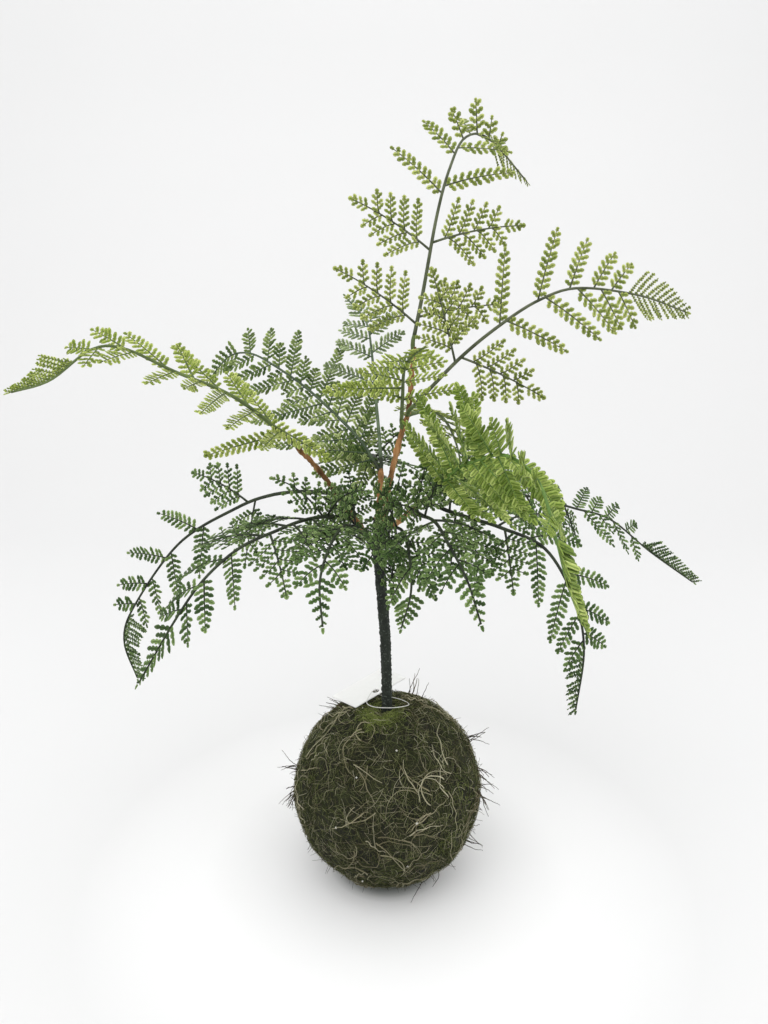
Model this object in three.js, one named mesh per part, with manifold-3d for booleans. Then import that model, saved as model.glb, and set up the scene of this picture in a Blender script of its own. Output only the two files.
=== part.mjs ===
// A fern planted in a moss ball: a foam core wrapped in a mat of moss, a taped stem pushed into it,
// four twig-like branches that splay from the top of the stem, and sixteen moulded fronds.
// Millimetres, +Z up, the origin at the middle of the flat spot that the ball stands on.
// The viewer of the front stands on the -Y side.
import * as THREE from 'three';
import { mergeVertices } from 'three/addons/utils/BufferGeometryUtils.js';
import Module from 'manifold-3d';

const wasm = await Module();
wasm.setup();

const GAP = 0.3; // clearance where two pieces meet

// The ball.
const BALL_R = 60;
const FLAT_SINK = 2; // how far the flat spot cuts into the sphere
const BALL_Z = BALL_R - FLAT_SINK;
const BALL_DETAIL = 5;
const RELIEF = 1.3; // height of the lumps of the moss mat
const DENT = 4; // the mat is pressed in round the stem
const DENT_ANGLE = 0.2;
const CORE_R = 49;
const CORE_DETAIL = 2;
const STRAY_R = 0.55;
const STRAY_LENGTH = 10;
const STRAY_ROOTED = 3; // how deep a loose root end is set in the mat

// The stem and the branches.
const STEM_R = 3.1;
const STEM_TOP_R = 3.3;
const STEM_SIDES = 8;
const STEM_FOOT_Z = 62;
const STEM_CLEARANCE = 0.5;
const BRANCH_R = 1.7;
const BRANCH_TIP_R = 1.4;
const FORK_R = 2.4;
const BRANCH_SIDES = 5;
const PEG_R = 1.3;
const PEG_SIDES = 4;
const PEG_RUN = 4; // a peg runs straight for this length before its frond
const PEG_ROOT = 10; // a peg leaves the branch nearest to this far back from its frond
const PEG_FLARE = 1.15; // how much thicker a peg is where it leaves the branch

// The fronds.
const RACHIS_R = 1.15;
const RACHIS_TIP_R = 0.45;
const RACHIS_SIDES = 3;
const RACHIS_STEPS = 7;
const SHORT_RACHIS_STEPS = 5; // on a frond of four pairs or fewer
const LONG_PAIRS = 5;
const BLADE = 0.7; // thickness of a moulded blade
const RIB = 0.6; // half width of a blade's rib
const SPACING_RATIO = 0.76; // each gap between pairs of pinnae is this share of the one before
const STAGGER = 0.012; // how far the two pinnae of a pair are shifted along the rachis
const TIP_FROM = 0.79; // share of the rachis where the pinnae close up into one toothed tip
const TIP_LAP = 0.02; // share of the rachis that runs on into the tip's blade
const TIP_TEETH = 4;
const TIP_SPREAD = 0.28; // half width of the tip, as a share of the frond's longest pinna
const PINNA_STEPS = 12;
const COMPOUND_ANGLE = 66; // between a pinna and the rachis
const SIMPLE_ANGLE = 60;
const ANGLE_SPREAD = 8;
const COMPOUND_TEETH = 3; // leaflets cut on each side of a compound pinna
const COMPOUND_STALK = 0.16; // share of a pinna that has no leaflets
const COMPOUND_SPREAD = 0.36; // half width of a compound pinna, as a share of its length
const COMPOUND_TAPER = 0.75;
const SIMPLE_STALK = 0.08;
const SIMPLE_HALF = 4.3; // half width of a simple pinna
const SIMPLE_TAPER = 0.4;
const SIMPLE_MAX = 0.76; // length of a simple pinna, as a share of the longest pinna
const TOOTH_PITCH = 15; // length of a leaflet cut along a simple pinna
const TOOTH_LEAN = 0.45; // how far a leaflet's point leans forward, as a share of its reach
const TWIST = 0.7; // how far a pinna twists about its rib towards its frond's look

const COLOURS = {
  moss: 0x4b4a2c,
  core: 0x6f5a41,
  tape: 0x23291f,
  twig: 0x8c5a36,
  light: 0x86a04a,
  bright: 0x5f9440,
  dark: 0x3f6a3a,
  card: 0xf3f2ee,
  nylon: 0xe8e8e4,
};

// Where the stem, the branches and the fronds run. A frond names what it is on.
// face is the way that a frond's upper side looks, at its base and at its tip.
// reach is its longest pinna, bare the share of the rachis before its first pinnae, pairs how many pairs
// of pinnae it has, compound how many of these are cut twice, and sag how far they droop.
// look, where a frond has one, is the way that its pinnae twist to face.
const STEM = [[0, 0, STEM_FOOT_Z], [0, 0, 110], [-1, 0, 158], [-3, 0, 188], [-5, 0, 214], [-6, 0, 220]];
const BRANCHES = [
  { name: 'branch_left', path: [[-14, -4, 234], [-24, -8, 249], [-38, -14, 272], [-50, -19, 287]] },
  {
    name: 'branch_tall',
    path: [[-2, 1, 238], [1, 2, 260], [7, 2, 287], [12, 2, 304], [14, 4, 327], [15, 5, 340]],
  },
  { name: 'branch_right', path: [[1, -7, 236], [10, -11, 245], [18, -17, 254], [23, -23, 260]] },
  { name: 'branch_back', path: [[-6, 7, 237], [-5, 14, 248], [-4, 19, 259], [-4, 23, 265]] },
];
const FRONDS = [
  {
    name: 'frond_tall', on: 'branch_tall', tone: 'light',
    reach: 52, bare: 0.05, pairs: 5, compound: 2, sag: 0.25,
    path: [[15, 5, 346], [20, 8, 371], [27, 12, 410], [34, 18, 435], [43, 28, 452], [58, 40, 453],
      [83, 55, 432]],
    face: [[0.1, -1, 0.1], [0, -0.5, 1]],
  },
  {
    name: 'frond_upper_right', on: 'branch_tall', tone: 'light',
    reach: 50, bare: 0.2, pairs: 6, compound: 1, sag: 0.2,
    path: [[15, -3, 308], [40, -8, 335], [61, -12, 353], [81, -14, 366], [102, -12, 372], [137, -5, 368],
      [165, 0, 359]],
    face: [[0, -1, 0.3], [-0.1, -1, 0.4]],
  },
  {
    name: 'frond_centre', on: 'branch_tall', tone: 'light',
    reach: 34, bare: 0.2, pairs: 4, compound: 1, sag: 0.1,
    path: [[8, -3, 301], [8, -25, 317], [8, -55, 333], [11, -80, 342], [16, -100, 348]],
    face: [[0, -0.9, 0.7], [0, -0.5, 1]], look: [0, -1, 0.3],
  },
  {
    name: 'frond_behind', on: 'branch_tall', tone: 'light',
    reach: 36, bare: 0.15, pairs: 4, compound: 1, sag: 0.3,
    path: [[16, 7, 302], [26, 25, 301], [38, 50, 289], [48, 75, 266], [54, 95, 237]],
    face: [[0, -0.4, 1], [0.3, 0.6, 0.8]],
  },
  {
    name: 'frond_left', on: 'branch_left', tone: 'light',
    reach: 46, bare: 0.05, pairs: 5, compound: 2, sag: 0.1,
    path: [[-55, -21, 293], [-80, -36, 317], [-107, -50, 332], [-128, -60, 344], [-142, -66, 344],
      [-161, -72, 330], [-178, -78, 325]],
    face: [[0.1, -0.3, 1], [-0.2, -0.4, 1]], look: [0, -1, 0.5],
  },
  {
    name: 'frond_lower_left', on: 'branch_left', tone: 'dark',
    reach: 40, bare: 0.24, pairs: 5, compound: 1, sag: 0.3,
    path: [[-31, -6, 257], [-49, -4, 258], [-69, -2, 255], [-90, 2, 246], [-126, 6, 223], [-157, 8, 182],
      [-166, 8, 158], [-159, 6, 132]],
    face: [[0, -1, 0.5], [-0.5, -1, 0.1]],
  },
  {
    name: 'frond_front_left', on: 'branch_left', tone: 'dark',
    reach: 44, bare: 0.2, pairs: 5, compound: 2, sag: 0.7,
    path: [[-27, -17, 246], [-34, -32, 251], [-45, -50, 254], [-57, -65, 253], [-73, -80, 249],
      [-88, -92, 238], [-101, -100, 221], [-121, -106, 188]],
    face: [[0, -0.5, 1], [-0.8, -0.6, 0.3]],
  },
  {
    name: 'frond_inner_left', on: 'branch_left', tone: 'dark',
    reach: 34, bare: 0.25, pairs: 4, compound: 1, sag: 0.7,
    path: [[-18, -12, 239], [-24, -45, 249], [-29, -80, 249], [-32, -105, 240], [-30, -118, 223]],
    face: [[0, -0.3, 1], [0, -1, 0.3]],
  },
  {
    name: 'frond_back_left', on: 'branch_back', tone: 'dark',
    reach: 48, bare: 0.13, pairs: 5, compound: 2, sag: 0,
    path: [[-8, 27, 269], [-18, 36, 282], [-34, 48, 296], [-52, 60, 310], [-73, 70, 323], [-90, 80, 330],
      [-106, 88, 327], [-122, 94, 310]],
    face: [[0.1, -1, 0.6], [0, -0.9, 0.6]],
  },
  {
    name: 'frond_back', on: 'branch_back', tone: 'dark',
    reach: 34, bare: 0.4, pairs: 4, compound: 1, sag: 0.1,
    path: [[-4, 27, 271], [-5, 34, 284], [-7, 45, 304], [-10, 62, 334], [-14, 78, 351], [-28, 100, 366]],
    face: [[0, -1, 0.3], [0, -0.8, 0.9]],
  },
  {
    name: 'frond_rear', on: 'branch_back', tone: 'dark',
    reach: 44, bare: 0.2, pairs: 3, compound: 1, sag: 0.4,
    path: [[-5, 30, 263], [-9, 60, 266], [-17, 100, 251], [-25, 135, 216], [-31, 155, 173]],
    face: [[0, 0.3, 1], [0, 1, 0.4]],
  },
  {
    name: 'frond_front_right', on: 'branch_right', tone: 'bright',
    reach: 44, bare: 0.16, pairs: 5, compound: 2, sag: 0.1,
    path: [[27, -27, 264], [34, -55, 282], [42, -80, 293], [50, -105, 301], [56, -122, 301], [62, -138, 295],
      [67, -150, 276], [72, -156, 257], [80, -158, 239]],
    face: [[0.75, 0.3, 0.6], [0.8, -0.5, 0.3]], look: [0.1, -1, 0.3],
  },
  {
    name: 'frond_lower_right', on: 'branch_right', tone: 'dark',
    reach: 42, bare: 0.15, pairs: 5, compound: 1, sag: 0.6,
    path: [[26, -26, 256], [33, -35, 255], [46, -44, 253], [60, -50, 250], [83, -56, 240], [99, -60, 213],
      [106, -60, 184], [105, -56, 145]],
    face: [[0, -0.7, 1], [0.4, -1, 0]],
  },
  {
    name: 'frond_right', on: 'branch_right', tone: 'dark',
    reach: 40, bare: 0.24, pairs: 5, compound: 1, sag: 0.1,
    path: [[21, -8, 254], [34, 8, 255], [58, 32, 251], [94, 52, 240], [127, 66, 228], [155, 76, 217],
      [187, 84, 191], [223, 90, 165]],
    face: [[-0.2, -0.7, 1], [0.2, -0.8, 1]],
  },
  {
    name: 'frond_inner_right', on: 'branch_right', tone: 'dark',
    reach: 34, bare: 0.3, pairs: 4, compound: 1, sag: 0.6,
    path: [[16, -24, 250], [24, -58, 256], [29, -90, 254], [36, -112, 244], [42, -122, 226]],
    face: [[0, -0.3, 1], [0, -1, 0.4]],
  },
  {
    name: 'frond_front', on: 'stem', tone: 'dark',
    reach: 40, bare: 0.2, pairs: 3, compound: 2, sag: 0.8,
    path: [[-4, -12, 230], [2, -32, 244], [8, -50, 248], [11, -62, 240], [12, -68, 221], [7, -66, 199]],
    face: [[0.9, -0.3, 0.3], [0.2, -1, 0]], look: [0, -1, 0.3],
  },
];

// Loose root ends: azimuth from +X and elevation in degrees on the ball, then the way that each points.
const STRAYS = [
  [-5, 16, 0.8, -0.2, -0.6],
  [-20, 8, 0.6, 0, -0.8],
  [-4, -2, 0.4, -0.1, -0.9],
  [10, 30, 0.9, 0, 0.3],
  [184, 14, -0.9, -0.1, 0.3],
  [194, 4, -0.5, -0.1, -0.9],
  [175, -6, -0.4, 0, -0.9],
  [-12, -32, 0.9, -0.1, -0.3],
  [-35, -46, -0.6, -0.3, -0.4],
  [50, 66, 0.3, 0.1, 0.9],
  [160, 60, -0.9, 0.2, 0.2],
  [95, 30, 0.3, 0.8, -0.4],
  [112, -12, -0.4, 0.7, -0.6],
];

// The card: its lower corner, the direction of its long and its short side, and its punched hole.
const CARD_CORNER = [-20, 0, 114.6];
const CARD_ALONG = [0.74, 0.66, 0.13];
const CARD_ACROSS = [-0.65, 0.75, -0.1];
const CARD_SIZE = [44, 25, 0.6];
const CARD_HOLE = [21, 4.5]; // from the corner, along the two sides
const CARD_HOLE_R = 2.4;
const CARD_HOLE_SIDES = 12;

// The loop's route in front of the card, and behind it, with how far it runs below and above the card
// beside the hole.
const LOOP_FRONT = [
  [-13, 2, 117.4], [-8.5, -4, 117.8], [1, -5.6, 118], [9, -3.6, 117.6], [14, 2.5, 116], [8, 9, 116],
];
const LOOP_BACK = [[-11, 9.5, 119.2]];
const LOOP_BELOW = [1.8, -1.2, -1.7];
const LOOP_ABOVE = [-1.2, -1.8, 1.7];
const LOOP_R = 0.45;
const LOOP_STEPS = 22;
const LOOP_SIDES = 4;

// How a pinna is bent clear of its neighbours: its lift in degrees and the share of its length that it
// keeps, tried in turn.
const LIFTS = [0, 12, -12, 24, -24, 36, -36, 50, -50, 65, -65];
const SHARES = [1, 0.72];

const vec = (p) => new THREE.Vector3(...p);

function curveThrough(points, isClosed = false) {
  return new THREE.CatmullRomCurve3(points, isClosed, 'catmullrom', 0.5);
}

// The same number between 0 and 1 for the same pair of whole numbers.
function wobble(i, j) {
  const s = Math.sin(i * 12.9898 + j * 78.233) * 43758.5453;
  return s - Math.floor(s);
}

// three.js geometry to a solid that can be cut and joined, and back.
function solidOf(geometry) {
  const bare = new THREE.BufferGeometry().setAttribute('position', geometry.getAttribute('position'));
  if (geometry.index) bare.setIndex(geometry.index);
  const merged = mergeVertices(bare, 1e-4);
  return new wasm.Manifold(new wasm.Mesh({
    numProp: 3,
    vertProperties: merged.attributes.position.array,
    triVerts: new Uint32Array(merged.index.array),
  }));
}

function geometryOf(solid) {
  const mesh = solid.getMesh();
  const positions = new Float32Array(mesh.numVert * 3);
  for (let i = 0; i < mesh.numVert; i++) {
    positions.set(mesh.vertProperties.subarray(i * mesh.numProp, i * mesh.numProp + 3), i * 3);
  }
  return new THREE.BufferGeometry()
    .setAttribute('position', new THREE.BufferAttribute(positions, 3))
    .setIndex(new THREE.BufferAttribute(mesh.triVerts, 1));
}

// A solid from corner points and triangles, turned outside out where they face in.
function faceted(points, triangles) {
  const positions = new Float32Array(points.flatMap((p) => [p.x, p.y, p.z]));
  const build = (index) => solidOf(new THREE.BufferGeometry()
    .setAttribute('position', new THREE.BufferAttribute(positions, 3))
    .setIndex(index));
  const made = build(triangles);
  return made.volume() > 0 ? made : build([...triangles].reverse());
}

// A closed tube through frames, each with its point, its radius and two directions square to the path.
// isRing joins the last section to the first.
function tube(frames, sides, isRing = false) {
  const corners = frames.flatMap(({ point, across, normal, radius }) =>
    Array.from({ length: sides }, (_, k) => {
      const a = (2 * Math.PI * k) / sides;
      return point.clone()
        .addScaledVector(across, radius * Math.cos(a))
        .addScaledVector(normal, radius * Math.sin(a));
    }));
  const at = (i, k) => (i % frames.length) * sides + (k % sides);
  const runs = isRing ? frames.length : frames.length - 1;
  const triangles = [];
  for (let i = 0; i < runs; i++) {
    for (let k = 0; k < sides; k++) {
      triangles.push(at(i, k), at(i + 1, k + 1), at(i, k + 1), at(i, k), at(i + 1, k), at(i + 1, k + 1));
    }
  }
  for (let k = 1; k + 1 < sides && !isRing; k++) {
    triangles.push(at(0, 0), at(0, k), at(0, k + 1), at(runs, 0), at(runs, k + 1), at(runs, k));
  }
  return faceted(corners, triangles);
}

// A round tube through hand-set points, such as the stem, a branch, a peg or a root.
function stalk(points, r0, r1, sides, steps) {
  const curve = curveThrough(points);
  const chord = points.at(-1).clone().sub(points[0]).normalize();
  const side = Math.abs(chord.z) > 0.7 ? new THREE.Vector3(1, 0, 0) : new THREE.Vector3(0, 0, 1);
  const frames = Array.from({ length: steps + 1 }, (_, i) => {
    const tangent = curve.getTangentAt(i / steps);
    const normal = new THREE.Vector3().crossVectors(tangent, side).normalize();
    const across = new THREE.Vector3().crossVectors(normal, tangent);
    return { point: curve.getPointAt(i / steps), across, normal, radius: r0 + ((r1 - r0) * i) / steps };
  });
  return tube(frames, sides);
}

// A frond's rachis as straight runs between even steps of its curve, with the way its upper side faces.
function rachisOf(frond) {
  const curve = curveThrough(frond.path.map(vec));
  const [from, to] = frond.face.map((f) => vec(f).normalize());
  const steps = frond.pairs < LONG_PAIRS ? SHORT_RACHIS_STEPS : RACHIS_STEPS;
  const knots = curve.getSpacedPoints(steps);
  const tangents = knots.map((_, i) => curve.getTangentAt(i / steps));
  const at = (s) => {
    const i = Math.min(Math.floor(s * steps), steps - 1);
    const share = s * steps - i;
    const point = knots[i].clone().lerp(knots[i + 1], share);
    const tangent = tangents[i].clone().lerp(tangents[i + 1], share).normalize();
    const face = from.clone().lerp(to, s);
    const normal = face.addScaledVector(tangent, -face.dot(tangent)).normalize();
    const across = new THREE.Vector3().crossVectors(tangent, normal);
    return { point, tangent, normal, across, radius: RACHIS_R + (RACHIS_TIP_R - RACHIS_R) * s };
  };
  return { at, steps, length: curve.getLength() };
}

// The round part of a rachis. It ends just inside the tip's blade, whose rib goes on from there.
function rachisSolid(frond) {
  const { at, steps } = rachisOf(frond);
  const knots = Array.from({ length: steps }, (_, i) => i / steps).filter((s) => s < TIP_FROM);
  return tube([...knots, TIP_FROM + TIP_LAP].map(at), RACHIS_SIDES);
}

// The midrib of a pinna, stepped out from its base while it bends down under its own weight.
function ribOf(base, direction, normal, length, sag) {
  const points = [base];
  const tangents = [direction];
  for (let i = 1; i <= PINNA_STEPS; i++) {
    const tangent = direction.clone();
    tangent.z -= (sag * i) / PINNA_STEPS;
    tangents.push(tangent.normalize());
    points.push(points[i - 1].clone().addScaledVector(tangent, length / PINNA_STEPS));
  }
  return (u) => {
    const i = Math.min(Math.floor(u * PINNA_STEPS), PINNA_STEPS - 1);
    const share = u * PINNA_STEPS - i;
    const point = points[i].clone().lerp(points[i + 1], share);
    const tangent = tangents[i].clone().lerp(tangents[i + 1], share).normalize();
    const up = normal.clone().addScaledVector(tangent, -normal.dot(tangent)).normalize();
    return { point, normal: up, across: new THREE.Vector3().crossVectors(tangent, up) };
  };
}

// A thin blade along a rib, its leaflets cut to the rib on both sides. half(u) is its half width.
// Both faces are split alike. grow makes it stand out all round, to test its clearance.
function toothedBlade(rib, { length, stalkShare, teeth, half }, grow) {
  const middle = [];
  const put = (u, side) => {
    const { point, normal, across } = rib(u);
    middle.push({ point: point.clone().addScaledVector(across, side), normal });
    return middle.length - 1;
  };
  const faces = [];
  const rights = [put(0, RIB + grow)];
  const lefts = [put(0, -RIB - grow)];
  const widen = (u) => {
    const right = put(u, RIB + grow);
    const left = put(u, -RIB - grow);
    faces.push([lefts.at(-1), rights.at(-1), right], [lefts.at(-1), right, left]);
    return { right, left };
  };
  const first = widen(stalkShare);
  rights.push(first.right);
  lefts.push(first.left);
  const pitch = (1 - stalkShare) / (teeth + 0.6);
  for (let i = 0; i < teeth; i++) {
    const u = stalkShare + pitch * i;
    const reach = half(u + pitch / 2);
    const tipU = Math.min(u + pitch / 2 + (TOOTH_LEAN * reach) / length, 1);
    const next = widen(u + pitch);
    const tipRight = put(tipU, reach + grow);
    const tipLeft = put(tipU, -reach - grow);
    faces.push([rights.at(-1), tipRight, next.right], [lefts.at(-1), next.left, tipLeft]);
    rights.push(tipRight, next.right);
    lefts.push(tipLeft, next.left);
  }
  const end = put(1, 0);
  faces.push([lefts.at(-1), rights.at(-1), end]);
  const n = middle.length;
  const offset = (v, by) => v.point.clone().addScaledVector(v.normal, by);
  const corners = [
    ...middle.map((v) => offset(v, BLADE / 2 + grow)),
    ...middle.map((v) => offset(v, -BLADE / 2 - grow)),
  ];
  const triangles = faces.flatMap(([a, b, c]) => [a, b, c, n + a, n + c, n + b]);
  const outline = [...rights, end, ...lefts.reverse()];
  outline.forEach((a, i) => {
    const b = outline[(i + 1) % outline.length];
    triangles.push(a, n + a, n + b, a, n + b, b);
  });
  return faceted(corners, triangles);
}

// Every pinna of a frond: the pair it belongs to, where it leaves the rachis, its way, length and sag.
function pinnaeOf(frond, index) {
  const rachis = rachisOf(frond);
  const pinnae = [];
  for (let k = 0; k < frond.pairs; k++) {
    for (const side of [1, -1]) {
      const chance = wobble(index * 31 + k, side);
      const progress = (1 - SPACING_RATIO ** k) / (1 - SPACING_RATIO ** frond.pairs);
      const at = rachis.at(frond.bare + (TIP_FROM - frond.bare) * progress + STAGGER * side);
      const isCompound = k < frond.compound;
      const lean = (isCompound ? COMPOUND_ANGLE : SIMPLE_ANGLE) - ANGLE_SPREAD * chance;
      const angle = THREE.MathUtils.degToRad(lean);
      const direction = at.tangent.clone().multiplyScalar(Math.cos(angle))
        .addScaledVector(at.across, side * Math.sin(angle));
      const share = isCompound ? 1 - 0.04 * k : Math.min(SIMPLE_MAX, 1.26 - 0.9 * progress);
      const length = frond.reach * share * (0.92 + 0.16 * chance);
      const sag = frond.sag * (0.6 + 0.8 * chance);
      pinnae.push({ k, at, direction, length, isCompound, sag, look: frond.look });
    }
  }
  return pinnae;
}

function pinnaBlade(pinna, lift, share, grow) {
  const a = THREE.MathUtils.degToRad(lift);
  const up = pinna.at.normal;
  const direction = pinna.direction.clone().multiplyScalar(Math.cos(a)).addScaledVector(up, Math.sin(a));
  const normal = up.clone().multiplyScalar(Math.cos(a)).addScaledVector(pinna.direction, -Math.sin(a));
  if (pinna.look) normal.lerp(vec(pinna.look).normalize(), TWIST);
  const length = pinna.length * share;
  const rib = ribOf(pinna.at.point, direction, normal, length, pinna.sag);
  if (pinna.isCompound) {
    const half = (u) => COMPOUND_SPREAD * length * (1 - COMPOUND_TAPER * u);
    return toothedBlade(rib, { length, stalkShare: COMPOUND_STALK, teeth: COMPOUND_TEETH, half }, grow);
  }
  const half = (u) => SIMPLE_HALF * (1 - SIMPLE_TAPER * u * u);
  const teeth = Math.max(2, Math.round(length / TOOTH_PITCH));
  return toothedBlade(rib, { length, stalkShare: SIMPLE_STALK, teeth, half }, grow);
}

// The far end of a frond, where the pinnae are short enough to close up into one toothed blade.
function tipBlade(frond) {
  const rachis = rachisOf(frond);
  const along = (u) => rachis.at(TIP_FROM + (1 - TIP_FROM) * u);
  const half = (u) => TIP_SPREAD * frond.reach * (1 - 0.85 * u);
  const length = rachis.length * (1 - TIP_FROM);
  return toothedBlade(along, { length, stalkShare: SIMPLE_STALK, teeth: TIP_TEETH, half }, 0);
}

const meets = (a, b) => a.intersect(b).volume() > 1e-6;

// Adds the pinnae to every rachis, pair by pair. Each is bent clear of all that is already in place.
function growFronds(others) {
  const grown = FRONDS.map((frond) => rachisSolid(frond).add(tipBlade(frond)));
  const isClear = (i, solid) =>
    !others.some((other) => meets(other, solid)) && !grown.some((other, j) => j !== i && meets(other, solid));
  const choices = SHARES.flatMap((share) => LIFTS.map((lift) => [lift, share]));
  const pinnae = FRONDS.flatMap((frond, i) => pinnaeOf(frond, i).map((pinna) => ({ i, pinna })));
  pinnae.sort((a, b) => a.pinna.k - b.pinna.k);
  for (const { i, pinna } of pinnae) {
    const choice = choices.find(([lift, share]) => isClear(i, pinnaBlade(pinna, lift, share, GAP)));
    if (choice) grown[i] = grown[i].add(pinnaBlade(pinna, ...choice, 0));
  }
  return grown;
}

// The stem or a branch, with a peg from one of its anchor points to each piece that it carries.
function withPegs(body, anchors, carried, radius, sides) {
  return carried.reduce((solid, piece) => {
    const start = vec(piece.path[0]);
    const along = curveThrough(piece.path.map(vec)).getTangentAt(0);
    const root = start.clone().addScaledVector(along, -PEG_ROOT);
    const anchor = anchors.reduce((best, p) => (p.distanceTo(root) < best.distanceTo(root) ? p : best));
    const knee = start.clone().addScaledVector(along, -PEG_RUN);
    const end = start.clone().addScaledVector(along, -GAP);
    return solid.add(stalk([anchor, knee, end], radius * PEG_FLARE, radius, sides, 2));
  }, body);
}

function stemSolid() {
  const path = STEM.map(vec);
  const top = [path.at(-1)];
  const body = stalk(path, STEM_R, STEM_TOP_R, STEM_SIDES, 6);
  const forked = withPegs(body, top, BRANCHES, FORK_R, BRANCH_SIDES);
  return withPegs(forked, top, FRONDS.filter((f) => f.on === 'stem'), PEG_R, PEG_SIDES);
}

function branchSolid(branch) {
  const path = branch.path.map(vec);
  const body = stalk(path, BRANCH_R, BRANCH_TIP_R, BRANCH_SIDES, 4);
  const carried = FRONDS.filter((f) => f.on === branch.name);
  return withPegs(body, curveThrough(path).getSpacedPoints(24), carried, PEG_R, PEG_SIDES);
}

// The distance of the mat's surface from the ball's centre, in a direction.
function mossRadius(n) {
  const lumps = Math.sin(7 * n.x + 2) * Math.sin(6 * n.y + 1) * Math.sin(7 * n.z + 3)
    + 0.6 * Math.sin(13 * n.x + 5 * n.z) * Math.sin(12 * n.y - 4 * n.z + 2);
  const dent = DENT * Math.exp(-((Math.acos(Math.min(1, n.z)) / DENT_ANGLE) ** 2));
  return BALL_R + RELIEF * lumps - dent;
}

function ballSolid(radiusOf, detail) {
  const geometry = new THREE.IcosahedronGeometry(1, detail);
  const position = geometry.getAttribute('position');
  const n = new THREE.Vector3();
  for (let i = 0; i < position.count; i++) {
    n.fromBufferAttribute(position, i).normalize();
    const r = radiusOf(n);
    position.setXYZ(i, n.x * r, n.y * r, BALL_Z + n.z * r);
  }
  return solidOf(geometry);
}

// Loose root ends that stand out of the mat.
function strayRoots() {
  const centre = new THREE.Vector3(0, 0, BALL_Z);
  return STRAYS.map(([azimuth, elevation, ...way]) => {
    const [a, e] = [azimuth, elevation].map(THREE.MathUtils.degToRad);
    const n = new THREE.Vector3(Math.cos(e) * Math.cos(a), Math.cos(e) * Math.sin(a), Math.sin(e));
    const along = vec(way).normalize();
    const surface = centre.clone().addScaledVector(n, mossRadius(n));
    const foot = surface.clone().addScaledVector(n, -STRAY_ROOTED);
    const bend = surface.clone().add(n).addScaledVector(along, 0.3 * STRAY_LENGTH);
    const tip = bend.clone().addScaledVector(along, 0.7 * STRAY_LENGTH);
    return stalk([foot, bend, tip], STRAY_R, STRAY_R / 2, 3, 3);
  });
}

function stemHole(fromZ) {
  const r = STEM_R + STEM_CLEARANCE;
  return stalk([fromZ, 100, 2 * BALL_R + 10].map((z) => new THREE.Vector3(0, 0, z)), r, r, STEM_SIDES, 2);
}

function mossSolid() {
  const floor = new THREE.BoxGeometry(4 * BALL_R, 4 * BALL_R, BALL_R).translate(0, 0, -BALL_R / 2);
  const mat = strayRoots().reduce((solid, root) => solid.add(root), ballSolid(mossRadius, BALL_DETAIL));
  const room = ballSolid(() => CORE_R + GAP, CORE_DETAIL).add(stemHole(BALL_R));
  return mat.subtract(solidOf(floor)).subtract(room);
}

function coreSolid() {
  return ballSolid(() => CORE_R, CORE_DETAIL).subtract(stemHole(STEM_FOOT_Z - GAP));
}

// The card lies across the top of the ball, with its lower corner on the moss.
function cardFrame() {
  const x = vec(CARD_ALONG).normalize();
  const z = new THREE.Vector3().crossVectors(x, vec(CARD_ACROSS)).normalize();
  const y = new THREE.Vector3().crossVectors(z, x);
  return new THREE.Matrix4().makeBasis(x, y, z).setPosition(vec(CARD_CORNER));
}

function cardSolid() {
  const [length, width, thick] = CARD_SIZE;
  const corners = [[0, 0], [length, 0], [length, width], [0, width]];
  const outline = new THREE.Shape(corners.map((p) => new THREE.Vector2(...p)));
  outline.holes.push(new THREE.Path().absarc(...CARD_HOLE, CARD_HOLE_R, 0, 2 * Math.PI));
  const extrusion = { depth: thick, bevelEnabled: false, curveSegments: CARD_HOLE_SIDES / 2 };
  return solidOf(new THREE.ExtrudeGeometry(outline, extrusion).applyMatrix4(cardFrame()));
}

// The loop goes round the stem, under the card's edge, up through its hole and back over the edge.
function loopSolid() {
  const frame = cardFrame();
  const hole = new THREE.Vector3(...CARD_HOLE, CARD_SIZE[2] / 2).applyMatrix4(frame);
  const below = hole.clone().add(vec(LOOP_BELOW));
  const above = hole.clone().add(vec(LOOP_ABOVE));
  const curve = curveThrough([...LOOP_FRONT.map(vec), below, hole, above, ...LOOP_BACK.map(vec)], true);
  const { normals, binormals } = curve.computeFrenetFrames(LOOP_STEPS, true);
  const frames = Array.from({ length: LOOP_STEPS }, (_, i) => (
    { point: curve.getPointAt(i / LOOP_STEPS), across: binormals[i], normal: normals[i], radius: LOOP_R }
  ));
  return tube(frames, LOOP_SIDES, true);
}

function meshOf(name, solid, color, roughness) {
  const mesh = new THREE.Mesh(
    geometryOf(solid),
    new THREE.MeshStandardMaterial({ color, roughness, metalness: 0 }),
  );
  mesh.name = name;
  return mesh;
}

const stem = stemSolid();
const branches = BRANCHES.map(branchSolid);
const moss = mossSolid();
const card = cardSolid();
const loop = loopSolid();
const fronds = growFronds([stem, moss, card, loop, ...branches]);

const plant = new THREE.Group();
plant.add(meshOf('foam_core', coreSolid(), COLOURS.core, 0.95));
plant.add(meshOf('moss_cover', moss, COLOURS.moss, 0.95));
plant.add(meshOf('stem', stem, COLOURS.tape, 0.8));
BRANCHES.forEach((branch, i) => plant.add(meshOf(branch.name, branches[i], COLOURS.twig, 0.7)));
FRONDS.forEach((frond, i) => plant.add(meshOf(frond.name, fronds[i], COLOURS[frond.tone], 0.6)));
plant.add(meshOf('hang_tag', card, COLOURS.card, 0.6));
plant.add(meshOf('tag_loop', loop, COLOURS.nylon, 0.4));

export default plant;
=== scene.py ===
"""A fern planted in a moss ball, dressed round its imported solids.

Every frond, the stem, the twigs, the moss mat and the tag's loop are finer pieces that stand where the
solids are. Shapes are worked out in millimetres and turned into metres when a mesh is made.
"""

import math

import bpy
import numpy as np
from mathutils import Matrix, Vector, kdtree, noise


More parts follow.
